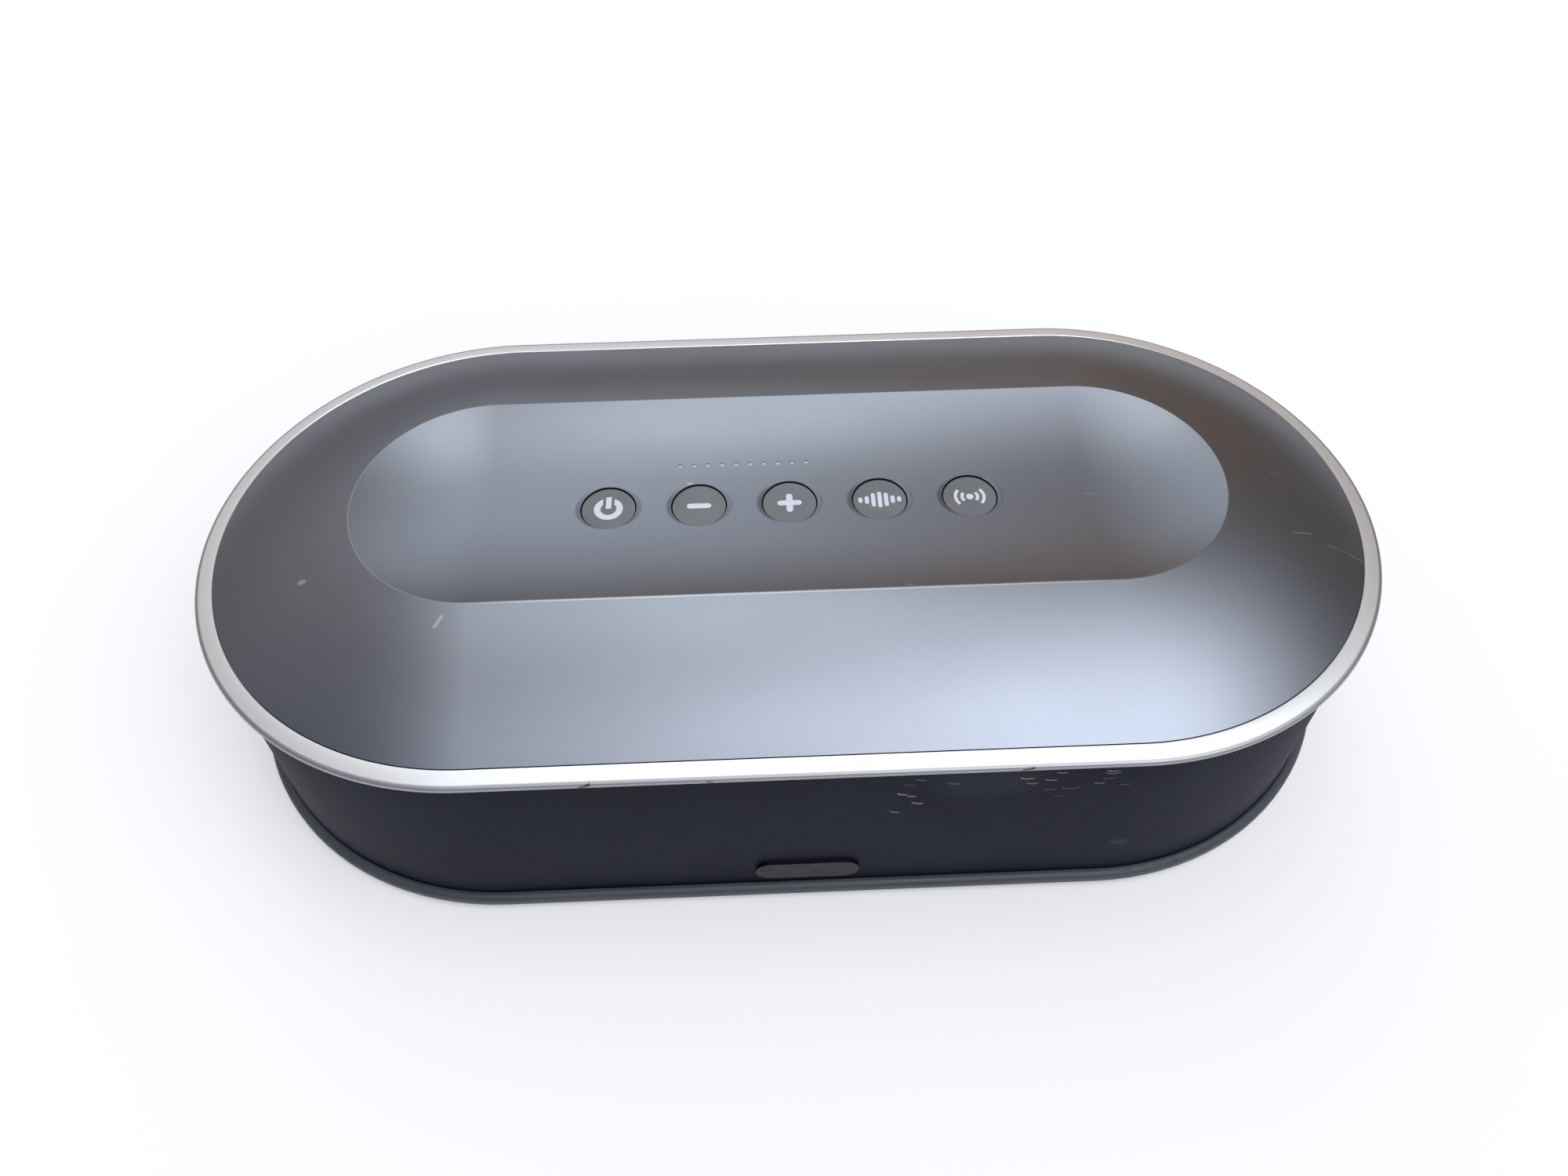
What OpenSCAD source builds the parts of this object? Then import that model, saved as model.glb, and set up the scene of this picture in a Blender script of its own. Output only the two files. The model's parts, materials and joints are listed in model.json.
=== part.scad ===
// Conference speakerphone: a long body with round ends that stands on a table.
// X runs along the body, Y points to its back and Z is up. The origin is the centre of the foot's underside.
// "Reach" is the distance from the centre line that joins the middles of the two round ends.

/* [Body] */
// Straight run between the middles of the two round ends
straight_run = 120; // [110:1:180]
// Width of the top plate
plate_w = 110.5; // [110:0.5:150]
// Height from the underside of the base to the edge of the top plate
body_h = 47.2; // [47:0.2:70]
// Height of the foot below the base
foot_drop = 1.5; // [1:0.1:3]

/* [Top plate] */
// Height of the crest above the plate's edge
crest_rise = 10.2; // [9.5:0.1:14]
// Height of the scoop's floor above the plate's edge
scoop_rise = 5.6; // [5:0.1:8]
// Width of the scoop from crest to crest
scoop_w = 52.8; // [46:0.2:64]
// Radius of the domed band between the crest and the edge
dome_r = 100; // [80:1:300]
// Thickness of the plate
plate_t = 2.2; // [1.8:0.1:3]

/* [Trim ring and grille] */
// How far the trim ring stands out beyond the plate's edge
trim_out = 3.85; // [3.4:0.05:6]
// Height of the trim ring
trim_h = 2.1; // [1.6:0.1:4]
// How far the grille's upper edge stands out beyond the plate's edge
grille_out = 1.95; // [1.5:0.05:2.5]
// How much further out the grille's lower edge stands
grille_flare = 0.8; // [0:0.1:1.5]
// Thickness of the grille sheet
grille_t = 0.8; // [0.5:0.1:1]
// Height of the base's visible skirt
skirt_h = 2.8; // [2.6:0.1:5]
// How far the skirt's foot stands out beyond the plate's edge
skirt_out = 4.75; // [4.4:0.05:8]

/* [Keys] */
// Diameter of a key cap
key_d = 10.6; // [9:0.1:12]
// Distance between neighbouring keys
key_pitch = 18.15; // [17.5:0.05:24]
// Gap all round a key cap
key_gap = 0.3; // [0.2:0.05:0.5]
// Outer diameter of the bevel that leads down to a key
key_bevel_d = 13; // [12.4:0.1:15]
// Depth of that bevel
key_bevel_h = 0.7; // [0.3:0.1:1]
// How far a key travels
key_travel = 0.5; // [0.2:0.05:0.6]

/* [Indicator row] */
// Number of indicator dots
dot_count = 10; // [4:1:12]
// Distance between neighbouring dots
dot_pitch = 2.87; // [2.4:0.01:4]
// Diameter of a dot's hole
dot_d = 1; // [0.8:0.1:1.4]
// How far the row lies behind the keys
dot_row_y = 10.4; // [9.5:0.1:13]

/* [Speaker box] */
// Length of the speaker box
box_l = 160; // [156:1:166]
// Depth of the speaker box with its cover
box_d = 56; // [50:1:60]
// Height of the speaker box
box_h = 39.2; // [38.5:0.1:39.8]
// Wall of the speaker box
box_t = 2.5; // [2:0.1:3]
// Space between the speaker box and the grille
box_front_gap = 8.9; // [6:0.1:12]
// Distance of each driver's axis from the middle
driver_x = 54; // [53:0.5:58]
// Radius of a driver's frame
driver_r = 18.5; // [18:0.1:19]
// How far a cone moves out and in
cone_travel = 1; // [0.5:0.1:1.2]
// Half the width of the passive radiator's moving plate
passive_r = 10; // [8:0.5:12]
// Straight run of the passive radiator
passive_run = 26; // [16:1:30]
// How far the passive radiator moves out and in
passive_travel = 1.5; // [0.5:0.1:1.5]

/* [Battery] */
// Diameter of a battery cell
cell_d = 18.4; // [16:0.1:18.6]
// Length of a battery cell
cell_l = 65; // [50:0.5:66]

/* [Main board] */
// Length of the main board
board_l = 62; // [58:1:64]
// Depth of the main board
board_d = 38; // [34:1:38]
// Thickness of the circuit boards
board_t = 1.2; // [0.8:0.1:1.6]
// Height of the main board's underside above the tray's floor
board_lift = 6.5; // [5:0.1:8]
// Place of the ports' middle along the body
port_x = 30; // [28:1:34]
// Distance of each port from the ports' middle
port_step = 9; // [8:0.5:11]
// Bore of the audio socket
aux_bore_d = 3.6; // [3.5:0.05:3.7]
// Depth of the audio socket's bore
aux_bore_l = 14; // [12:0.5:15]

/* [Hidden] */
$fn = 72;
arc_fn = 360;
over = 1;                       // how far a cut runs past the face it opens

// Levels
base_z = foot_drop;
edge_z = base_z + body_h;
floor_t = 2.2;
floor_z = base_z + floor_t;
crest_z = edge_z + crest_rise;
scoop_z = edge_z + scoop_rise;
trim_z = edge_z - trim_h;
frame_t = 3;
frame_z = trim_z - frame_t;

// Reaches
plate_reach = plate_w / 2;
trim_reach = plate_reach + trim_out;
grille_reach = plate_reach + grille_out;
skirt_reach = plate_reach + skirt_out;
grille_gap = 0.3;               // seam above and below the grille
grille_foot_reach = grille_reach + grille_flare;
groove_reach = grille_foot_reach + grille_gap;
skirt_top_r = 1.3;
skirt_low_r = 0.8;
lip_h = 4.3;                    // lip that the grille's foot stands against
lip_t = 1.4;
lip_reach = grille_foot_reach - grille_t - 0.2;
frame_outer = grille_reach - grille_t - 0.2;
frame_w = 8.2;
frame_inner = frame_outer - frame_w;

// Top plate curves, in reach and height above the plate's edge
scoop_half = scoop_w / 2;
scoop_sag = crest_rise - scoop_rise;
scoop_r = (scoop_half * scoop_half + scoop_sag * scoop_sag) / (2 * scoop_sag);
band_w = plate_reach - scoop_half;
band_chord = sqrt(band_w * band_w + crest_rise * crest_rise);
band_drop = sqrt(dome_r * dome_r - band_chord * band_chord / 4);
dome_x = (scoop_half + plate_reach) / 2 - band_drop * crest_rise / band_chord;
dome_y = crest_rise / 2 - band_drop * band_w / band_chord;
plate_foot_h = 1.1;             // upright rim under the plate's edge
plate_foot_t = 1.6;
trim_seat_gap = 0.15;
trim_seat_w = 1.9;

// Keys
KEY_X = [for (i = [-2:2]) i * key_pitch];
key_hole_d = key_d + 2 * key_gap;
key_recess = 0.15;
key_flange_d = key_d + 2.4;
key_flange_t = 0.9;
key_rest_gap = 0.05;
key_guide_d = key_flange_d + 3.6;
key_guide_bore_d = key_flange_d + 1;
key_top_z = scoop_z - key_recess;
flange_stop_z = scoop_z - plate_t - 0.6;
flange_z = flange_stop_z - key_rest_gap - key_flange_t;
key_guide_z = flange_z - 0.45;
stem_d = 4;
stem_h = 1.6;
stem_z = flange_z - stem_h;
legend_t = 0.35;

// Switches and key board
switch_w = 6;
switch_h = 1.7;
switch_gap = key_travel + 0.15; // room between stem and switch at rest
switch_z = stem_z - switch_gap - switch_h;
plunger_d = 2.6;
plunger_bore_d = 3.2;
plunger_h = 1.35;
plunger_well = switch_h - 0.4;
key_board_z = switch_z - board_t;
key_board_l = 4 * key_pitch + 24;
key_board_front = -10;
key_board_back = dot_row_y + 4.6;
key_post_d = 5;
KEY_POSTS = [for (sx = [-1, 1]) for (y = [key_board_front + 4, key_board_back - 4])
    [sx * (key_board_l / 2 - 4.3), y]];

// Indicator row, centred between the two volume keys
dot_mid_x = -key_pitch / 2;
DOT_X = [for (i = [0:dot_count - 1]) dot_mid_x + (i - (dot_count - 1) / 2) * dot_pitch];
dot_surface_z = scoop_z + scoop_r - sqrt(scoop_r * scoop_r - dot_row_y * dot_row_y);
dot_pin_d = dot_d - 0.1;
dot_pin_z = dot_surface_z - 0.08;
guide_bar_z = switch_z + 0.9;
guide_bar_top = dot_surface_z - plate_t - 1.2;
guide_w = 3;
guide_l = dot_count * dot_pitch + 2;
guide_foot_l = 2;

// Small screws: plate, boards, speaker box and brackets all use the same one
screw_head_d = 3.6;
screw_head_h = 1.2;
screw_d = 1.64;
screw_l = 5;
pilot_d = 1.7;
screw_hole_d = 2.2;
plate_post_d = 4.8;
plate_post_reach = trim_reach - trim_out - trim_seat_w + trim_seat_gap - plate_post_d / 2 - 0.1;
PLATE_POSTS = concat(
    [for (sx = [-1, 1]) for (a = [-60, -20, 20, 60])
        [sx * (straight_run / 2 + plate_post_reach * cos(a)), plate_post_reach * sin(a)]],
    [for (sy = [-1, 1]) [0, sy * plate_post_reach]]);

// Long screws and the pillars they hold
pillar_d = 7;
pillar_pad_d = 9;
pillar_rise = 2.5;
pillar_z = floor_z + pillar_rise;
case_screw_d = 2.9;
case_screw_l = 12.5;
case_pilot_d = 3;
case_head_d = 5.2;
case_head_h = 1.6;
case_head_well = 2;
case_head_clear = 1;
foot_in = 3.25;                 // how far the foot's outer edge lies inside the plate's edge
foot_w = 6;
foot_groove = 0.8;
foot_outer = plate_reach - foot_in;
foot_inner = foot_outer - foot_w;
end_pillar_reach = foot_inner - 5;
back_pillar_y = foot_inner - 3.3;
BACK_PILLAR_X = [port_x - board_l / 2 - 9, port_x + board_l / 2 + 5];
END_PILLARS = [for (sx = [-1, 1]) for (a = [-45, 45])
    [sx * (straight_run / 2 + end_pillar_reach * cos(a)), end_pillar_reach * sin(a)]];
BACK_PILLARS = [for (x = BACK_PILLAR_X) [x, back_pillar_y]];
PILLARS = concat(END_PILLARS, BACK_PILLARS);

// Speaker box
box_front = -(frame_outer - box_front_gap + 0.2);
box_back = box_front + box_d;
cover_t = 2.5;
gasket_t = 0.5;
box_shell_back = box_back - cover_t - gasket_t;
box_corner_r = 4;
box_mid_z = floor_z + box_h / 2;
box_post_d = 5.6;
box_post_l = 8;
box_post_in = 4.6;
BOX_POSTS = concat(
    [for (x = [-box_l / 2 + box_post_in, 0, box_l / 2 - box_post_in])
        for (z = [floor_z + box_post_in, floor_z + box_h - box_post_in]) [x, z]]);
driver_hole_r = driver_r - 3;
passive_gap = 0.35;
passive_roll_r = 1.5;
passive_roll_mid = passive_r + passive_gap + passive_roll_r;
passive_hole_r = passive_roll_mid + passive_roll_r - 0.35;
passive_rim_r = passive_hole_r + 3;
skin_t = 0.4;
ear_d = 8;
ear_t = 2.5;
box_ear_y = -10.2;
BOX_EARS = [for (sx = [-1, 1]) [sx * (box_l / 2 + ear_d / 2), box_ear_y]];

// Main board and ports
board_z = floor_z + board_lift;
board_top = board_z + board_t;
panel_out = grille_reach + grille_flare * 0.75 - 0.2;
panel_nose = 1.2;
panel_flange_t = 2;
panel_back = panel_out - panel_nose - panel_flange_t;
board_back = panel_back - 3.4;
board_front = board_back - board_d;
board_left = port_x - board_l / 2;
board_right = port_x + board_l / 2;
board_post_in = 4;
BOARD_POSTS = [for (x = [board_left + board_post_in, board_right - board_post_in])
    for (y = [board_front + board_post_in, board_back - board_post_in]) [x, y]];
panel_w = 40;
panel_z = floor_z + lip_h;
window_z = panel_z + 1;
window_h = 11;
panel_flange_h = window_h + 2.4;
usb_w = 8.9;
usb_h = 3.2;
usb_l = 7.4;
usb_wall = 0.3;
usb_mid_z = board_top + usb_h / 2;
aux_w = 6.4;
aux_h = 5.2;
aux_nose_d = 6.4;
aux_mid_z = board_top + aux_h / 2;
port_mouth = panel_out - 0.6;
port_gap = 0.2;
ribbon_w = 10;
ribbon_t = 0.3;
ribbon_x = port_x - 14;
ribbon_slack = 2.5;
connector_h = 1.6;
ribbon_low_y = board_front + 2.2;
ribbon_high_y = key_board_back - 2.2;
speaker_plug_x = port_x + 14;
wire_d = 1.3;

// Battery
cell_gap = 0.3;
cradle_t = 1.8;
cradle_w = cell_d + 2 * cell_gap + 2 * cradle_t;
cradle_step = 1.7;              // how far the cradle reaches forward of the main board
cradle_front = board_front - cradle_step;
cell_y = cradle_front + cradle_w / 2;
CELL_Z = [for (i = [0:1]) floor_z + cradle_t + cell_d / 2 + cell_gap + i * (cell_d + cell_gap)];
cradle_end = BACK_PILLAR_X[0] - pillar_pad_d / 2 - 0.5;
cells_end = cradle_end - cradle_t;
cradle_h = CELL_Z[1] + 4 - floor_z;
BATTERY_EARS = [for (x = [cells_end - cell_l + 16, cells_end - 16]) [x, cradle_front + cradle_w + ear_d / 2]];

// The battery's plug lies in line with the cells, and clear of the board's screw beside it
plug_w = 5;
plug_gap = 0.5;
battery_plug_y = max(cell_y, board_front + board_post_in + screw_head_d / 2 + plug_gap + plug_w / 2);

// Microphones hang under the frame at the round ends
mic_boot = [5.6, 9, 6];
mic_d = 4.2;
mic_l = 2;
mic_well = 2.8;
mic_reach = frame_inner + 2;

// ---------- helpers ----------

// Sweeps a profile of reach and height round a run with round ends
module around(run) {
    for (sx = [-1, 1])
        translate([sx * run / 2, 0, 0]) rotate([0, 0, -90 * sx])
            rotate_extrude(angle = 180) children();
    translate([-run / 2, 0, 0]) rotate([90, 0, 90]) linear_extrude(run) {
        children();
        mirror([1, 0]) children();
    }
}

// A profile rectangle between two reaches and two heights
module span(r0, r1, z0, z1) {
    translate([r0, z0]) square([r1 - r0, z1 - z0]);
}

// Rectangle with round corners, centred
module round_rect(w, h, r) {
    square([w - 2 * r, h], center = true);
    square([w, h - 2 * r], center = true);
    for (sx = [-1, 1]) for (sy = [-1, 1])
        translate([sx * (w / 2 - r), sy * (h / 2 - r)]) circle(r = r);
}

// Strip with round ends along X, centred
module slot_2d(run, r) {
    square([run, 2 * r], center = true);
    for (sx = [-1, 1]) translate([sx * run / 2, 0]) circle(r = r);
}

// Block between two corners
module block(low, high) {
    translate(low) cube(high - low);
}

// Upright round post or hole
module post(at, d, z0, z1) {
    translate([at[0], at[1], z0]) cylinder(d = d, h = z1 - z0);
}

// Turns a shape that is built up along +Z so that it faces the front, from the speaker box's face
module on_box_front(x) {
    translate([x, box_front, box_mid_z]) rotate([90, 0, 0]) children();
}

// Turns a flat outline in X and Z into a slab between two Y places
module slab_y(y0, y1) {
    translate([0, y1, 0]) rotate([90, 0, 0]) linear_extrude(y1 - y0) children();
}

// ---------- top plate, trim and frame ----------

module dome_face(inset) {
    translate([dome_x, dome_y]) circle(r = dome_r - inset, $fn = arc_fn);
}

module scoop_disc(grow) {
    translate([0, scoop_rise + scoop_r]) circle(r = scoop_r + grow, $fn = arc_fn);
}

module plate_profile() {
    translate([0, edge_z]) difference() {
        intersection() {
            dome_face(0);
            span(0, plate_reach, -plate_foot_h, crest_rise + over);
        }
        scoop_disc(0);
        difference() {
            intersection() {
                dome_face(plate_t);
                span(-over, plate_reach - plate_foot_t, -plate_foot_h - over, crest_rise);
            }
            scoop_disc(plate_t);
        }
    }
}

module top_plate() {
    plate_post_top = edge_z + 0.9;
    key_post_top = scoop_z - plate_t + 1.1;
    bevel_slope = (key_bevel_d - key_hole_d) / 2 / key_bevel_h;
    bevel_top = key_bevel_h + 0.6;
    color("#3a3c40") difference() {
        union() {
            around(straight_run) plate_profile();
            for (x = KEY_X) post([x, 0], key_guide_d, key_guide_z, key_post_top);
            for (at = KEY_POSTS) post(at, key_post_d, switch_z, key_post_top);
            for (at = PLATE_POSTS) post(at, plate_post_d, trim_z, plate_post_top);
        }
        for (x = KEY_X) {
            post([x, 0], key_hole_d, key_guide_z - over, scoop_z + over);
            post([x, 0], key_guide_bore_d, key_guide_z - over, flange_stop_z);
            translate([x, 0, scoop_z - key_bevel_h])
                cylinder(d1 = key_hole_d, d2 = key_hole_d + 2 * bevel_slope * bevel_top, h = bevel_top);
        }
        for (x = DOT_X) post([x, dot_row_y], dot_d, scoop_z - 2 * plate_t, dot_surface_z + over);
        for (at = KEY_POSTS) post(at, pilot_d, switch_z - over, switch_z + screw_l - board_t + 0.4);
        for (at = PLATE_POSTS) post(at, pilot_d, trim_z - over, frame_z + screw_l + 0.3);
    }
}

module trim_ring() {
    lip_r = trim_h / 2;
    color("#c9ccd0") around(straight_run) difference() {
        union() {
            span(plate_reach + trim_seat_gap - trim_seat_w, trim_reach - lip_r, trim_z, edge_z);
            translate([trim_reach - lip_r, trim_z + lip_r]) circle(r = lip_r);
        }
        span(0, plate_reach + trim_seat_gap, edge_z - plate_foot_h, edge_z + over);
    }
}

module top_frame() {
    color("#1e1f21") difference() {
        union() {
            around(straight_run) span(frame_inner, frame_outer, frame_z, trim_z);
            for (at = PILLARS) {
                post(at, pillar_d, pillar_z, trim_z);
                post(at, pillar_pad_d, frame_z, trim_z);
            }
            for (sx = [-1, 1]) for (a = [-45, 45])
                translate([sx * straight_run / 2, 0, frame_z]) rotate([0, 0, sx > 0 ? a : 180 + a])
                    translate([end_pillar_reach, -pillar_d / 2, 0])
                        cube([frame_inner + 2 - end_pillar_reach, pillar_d, frame_t]);
            for (at = BACK_PILLARS)
                translate([at[0] - pillar_d / 2, at[1], frame_z])
                    cube([pillar_d, frame_inner + 2 - at[1], frame_t]);
        }
        for (at = PILLARS) post(at, case_pilot_d, pillar_z - over, pillar_z + case_screw_l - 1.5);
        for (at = PLATE_POSTS) post(at, screw_hole_d, frame_z - over, trim_z + over);
    }
}

// ---------- keys ----------

module legend_power() {
    difference() {
        circle(d = 5.8);
        circle(d = 3.2);
        translate([-1.15, 0]) square([2.3, 4]);
    }
    translate([-0.55, 0.1]) square([1.1, 3.1]);
}

module legend_bar(turn) {
    rotate(turn) slot_2d(3.6, 0.65);
}

module legend_plus() {
    legend_bar(0);
    legend_bar(90);
}

module legend_voice() {
    bar_step = 1.3;
    for (i = [-3:3])
        translate([i * bar_step, 0]) rotate(90)
            slot_2d([3.4, 2.8, 1.2, 0.6][abs(i)], 0.42);
}

// A dot between two pairs of arcs: a plain sign for a radio link
module legend_pairing() {
    circle(d = 1.5);
    for (side = [0, 180]) rotate(side) intersection() {
        union() {
            for (r = [1.9, 3.2]) difference() {
                circle(r = r);
                circle(r = r - 0.65);
            }
        }
        polygon([[0, 0], [4, 3.4], [4, -3.4]]);
    }
}

module legend_2d(which) {
    if (which == 0) legend_power();
    if (which == 1) legend_bar(0);
    if (which == 2) legend_plus();
    if (which == 3) legend_voice();
    if (which == 4) legend_pairing();
}

module key(which) {
    color("#47494d") translate([KEY_X[which], 0, 0]) difference() {
        union() {
            post([0, 0], key_d, flange_z, key_top_z);
            post([0, 0], key_flange_d, flange_z, flange_z + key_flange_t);
            post([0, 0], stem_d, stem_z, flange_z + key_flange_t);
        }
        translate([0, 0, key_top_z - legend_t]) linear_extrude(legend_t + over) legend_2d(which);
    }
}

module legend(which) {
    color("#e6e8ee") translate([KEY_X[which], 0, key_top_z - legend_t])
        linear_extrude(legend_t) legend_2d(which);
}

module plunger(which) {
    color("#e8e4d8") post([KEY_X[which], 0], plunger_d, stem_z - plunger_h, stem_z);
}

module switch_housings() {
    color("#222222") for (x = KEY_X) difference() {
        translate([x, 0, switch_z]) linear_extrude(switch_h) round_rect(switch_w, switch_w, 0.6);
        post([x, 0], plunger_bore_d, switch_z + switch_h - plunger_well, switch_z + switch_h + over);
    }
}

module key_board() {
    mid_y = (key_board_front + key_board_back) / 2;
    color("#1f5a3a") difference() {
        union() {
            translate([0, mid_y, key_board_z]) linear_extrude(board_t)
                round_rect(key_board_l, key_board_back - key_board_front, 2);
            block([ribbon_x - ribbon_w / 2 - 1, ribbon_high_y - 1.5, key_board_z - connector_h],
                  [ribbon_x + ribbon_w / 2 + 1, ribbon_high_y + 1.5, key_board_z]);
        }
        for (at = KEY_POSTS) post(at, screw_hole_d, key_board_z - over, switch_z + over);
    }
}

module indicator_leds() {
    color("#f4f0d8") for (x = DOT_X)
        translate([x - 0.8, dot_row_y - 0.4, switch_z]) cube([1.6, 0.8, 0.6]);
}

module light_guide() {
    color("#dfe9ee") {
        block([dot_mid_x - guide_l / 2, dot_row_y - guide_w / 2, guide_bar_z],
              [dot_mid_x + guide_l / 2, dot_row_y + guide_w / 2, guide_bar_top]);
        for (sx = [-1, 1]) {
            mid = dot_mid_x + sx * (guide_l + guide_foot_l) / 2;
            block([mid - guide_foot_l / 2, dot_row_y - guide_w / 2, switch_z],
                  [mid + guide_foot_l / 2, dot_row_y + guide_w / 2, guide_bar_top]);
        }
        for (x = DOT_X) post([x, dot_row_y], dot_pin_d, guide_bar_top - 0.2, dot_pin_z);
    }
}

// ---------- base, foot and grille ----------

module base_profile() {
    skirt_top = base_z + skirt_h;
    span(0, skirt_reach - skirt_low_r, base_z, floor_z);
    span(groove_reach, skirt_reach - skirt_top_r, base_z, skirt_top);
    span(groove_reach, skirt_reach, base_z + skirt_low_r, skirt_top - skirt_top_r);
    translate([skirt_reach - skirt_low_r, base_z + skirt_low_r]) circle(r = skirt_low_r);
    intersection() {
        translate([skirt_reach - skirt_top_r, skirt_top - skirt_top_r]) circle(r = skirt_top_r);
        span(groove_reach, skirt_reach, base_z, skirt_top);
    }
    span(lip_reach - lip_t, lip_reach, floor_z - 0.1, floor_z + lip_h);
}

module base_tray() {
    clip_w = 6;
    color("#3c3d41") difference() {
        union() {
            around(straight_run) base_profile();
            for (at = PILLARS) post(at, pillar_pad_d, floor_z - 0.1, pillar_z);
            for (at = concat(BOX_EARS, BATTERY_EARS)) post(at, ear_d - 1, floor_z - 0.1, pillar_z);
            for (at = BOARD_POSTS) post(at, plate_post_d, floor_z - 0.1, board_z);
            for (sx = [-1, 1])
                block([port_x + sx * (panel_w / 2) - clip_w / 2, panel_back - 2.5, floor_z - 0.1],
                      [port_x + sx * (panel_w / 2) + clip_w / 2, panel_back, panel_z + panel_flange_h]);
        }
        around(straight_run)
            span(foot_inner, foot_outer, base_z - over, base_z + foot_groove);
        for (at = PILLARS) {
            post(at, case_head_d + case_head_clear, base_z - over, base_z + case_head_well);
            post(at, case_screw_d + 0.3, base_z - over, pillar_z + over);
        }
        for (at = concat(BOX_EARS, BATTERY_EARS))
            post(at, pilot_d, pillar_z + ear_t - screw_l - 0.2, pillar_z + over);
        for (at = BOARD_POSTS) post(at, pilot_d, board_top - screw_l - 0.3, board_z + over);
    }
}

module foot_ring() {
    color("#17181a") around(straight_run)
        span(foot_inner, foot_outer, 0, base_z + foot_groove);
}

module grille() {
    low = floor_z;
    high = trim_z - grille_gap;
    color("#26272e") difference() {
        around(straight_run)
            polygon([[grille_foot_reach - grille_t, low], [grille_foot_reach, low],
                     [grille_reach, high], [grille_reach - grille_t, high]]);
        block([port_x - panel_w / 2 - port_gap, panel_back, window_z - port_gap],
              [port_x + panel_w / 2 + port_gap, skirt_reach, window_z + window_h + port_gap]);
    }
}

module badge_blank() {
    badge_x = 0.9;
    badge_z = base_z + 8.4;
    badge_w = 20.6;
    badge_h = 5.8;
    badge_t = 0.9;
    lean = atan(grille_flare / (trim_z - grille_gap - floor_z));
    back = grille_foot_reach - grille_flare * (badge_z - floor_z) / (trim_z - grille_gap - floor_z);
    color("#4a4c54") translate([badge_x, -back, badge_z]) rotate([90 - lean, 0, 0])
        linear_extrude(badge_t) slot_2d(badge_w - badge_h, badge_h / 2);
}

// ---------- microphones ----------

module microphone_boots() {
    color("#101112") for (sx = [-1, 1]) difference() {
        translate([sx * (straight_run / 2 + mic_reach + mic_boot[0] / 2), 0, frame_z - mic_boot[2] / 2])
            cube(mic_boot, center = true);
        translate([sx * (straight_run / 2 + mic_reach + mic_boot[0] - mic_well), 0, frame_z - mic_boot[2] / 2])
            rotate([0, 90 * sx, 0]) cylinder(d = mic_d, h = mic_well + over);
    }
}

module microphones() {
    color("#b9bcc0") for (sx = [-1, 1])
        translate([sx * (straight_run / 2 + mic_reach + mic_boot[0] - mic_well), 0, frame_z - mic_boot[2] / 2])
            rotate([0, 90 * sx, 0]) cylinder(d = mic_d, h = mic_l);
}

// ---------- speaker box, drivers and passive radiator ----------

module box_outline(inset) {
    translate([0, box_mid_z])
        round_rect(box_l - 2 * inset, box_h - 2 * inset, box_corner_r - min(inset, box_corner_r - 1));
}

module speaker_box() {
    color("#26282b") difference() {
        union() {
            difference() {
                slab_y(box_front, box_shell_back) box_outline(0);
                slab_y(box_front + box_t, box_shell_back + over) box_outline(box_t);
            }
            intersection() {
                slab_y(box_front, box_shell_back) box_outline(0);
                for (at = BOX_POSTS)
                    translate([at[0], box_shell_back, at[1]]) rotate([90, 0, 0])
                        cylinder(d = box_post_d, h = box_post_l);
            }
            for (at = BOX_EARS) {
                post(at, ear_d, pillar_z, pillar_z + ear_t);
                block([at[0] > 0 ? box_l / 2 - 1 : at[0], at[1] - ear_d / 2, pillar_z],
                      [at[0] > 0 ? at[0] : 1 - box_l / 2, at[1] + ear_d / 2, pillar_z + ear_t]);
            }
        }
        for (sx = [-1, 1]) on_box_front(sx * driver_x)
            translate([0, 0, -box_t - over]) cylinder(r = driver_hole_r, h = box_t + 2 * over);
        on_box_front(0) translate([0, 0, -box_t - over])
            linear_extrude(box_t + 2 * over) slot_2d(passive_run, passive_hole_r);
        for (at = BOX_POSTS) translate([at[0], box_shell_back + over, at[1]]) rotate([90, 0, 0])
            cylinder(d = pilot_d, h = over + screw_l - cover_t - gasket_t + 0.3);
        for (at = BOX_EARS) post(at, screw_hole_d, pillar_z - over, pillar_z + ear_t + over);
    }
}

module speaker_box_gasket() {
    color("#0e0f10") difference() {
        slab_y(box_shell_back, box_shell_back + gasket_t) box_outline(0);
        slab_y(box_shell_back - over, box_shell_back + gasket_t + over) difference() {
            box_outline(box_t);
            for (at = BOX_POSTS) translate(at) circle(d = box_post_d);
        }
        for (at = BOX_POSTS) translate([at[0], box_back, at[1]]) rotate([90, 0, 0])
            cylinder(d = screw_hole_d, h = cover_t + gasket_t + over);
    }
}

module speaker_box_cover() {
    color("#26282b") difference() {
        slab_y(box_back - cover_t, box_back) box_outline(0);
        for (at = BOX_POSTS) translate([at[0], box_back + over, at[1]]) rotate([90, 0, 0])
            cylinder(d = screw_hole_d, h = cover_t + 2 * over);
    }
}

// Driver profiles: reach from the driver's axis, and height in front of the box's face
frame_front = 1.8;
basket_h = 11;
spider_z = -9.6;
back_t = 1.4;
coil_r = 5.2;
former_t = 0.3;
former_end = -15.2;
pole_r = 4.6;
gap_r = 5.9;
cone_r = driver_r - 5.8;
cone_neck_z = -3;
roll_r = 1.2;
roll_mid = cone_r + 0.35 + roll_r;
top_pole_t = 2;
magnet_t = 4.6;
magnet_r = driver_r - 6;

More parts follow.
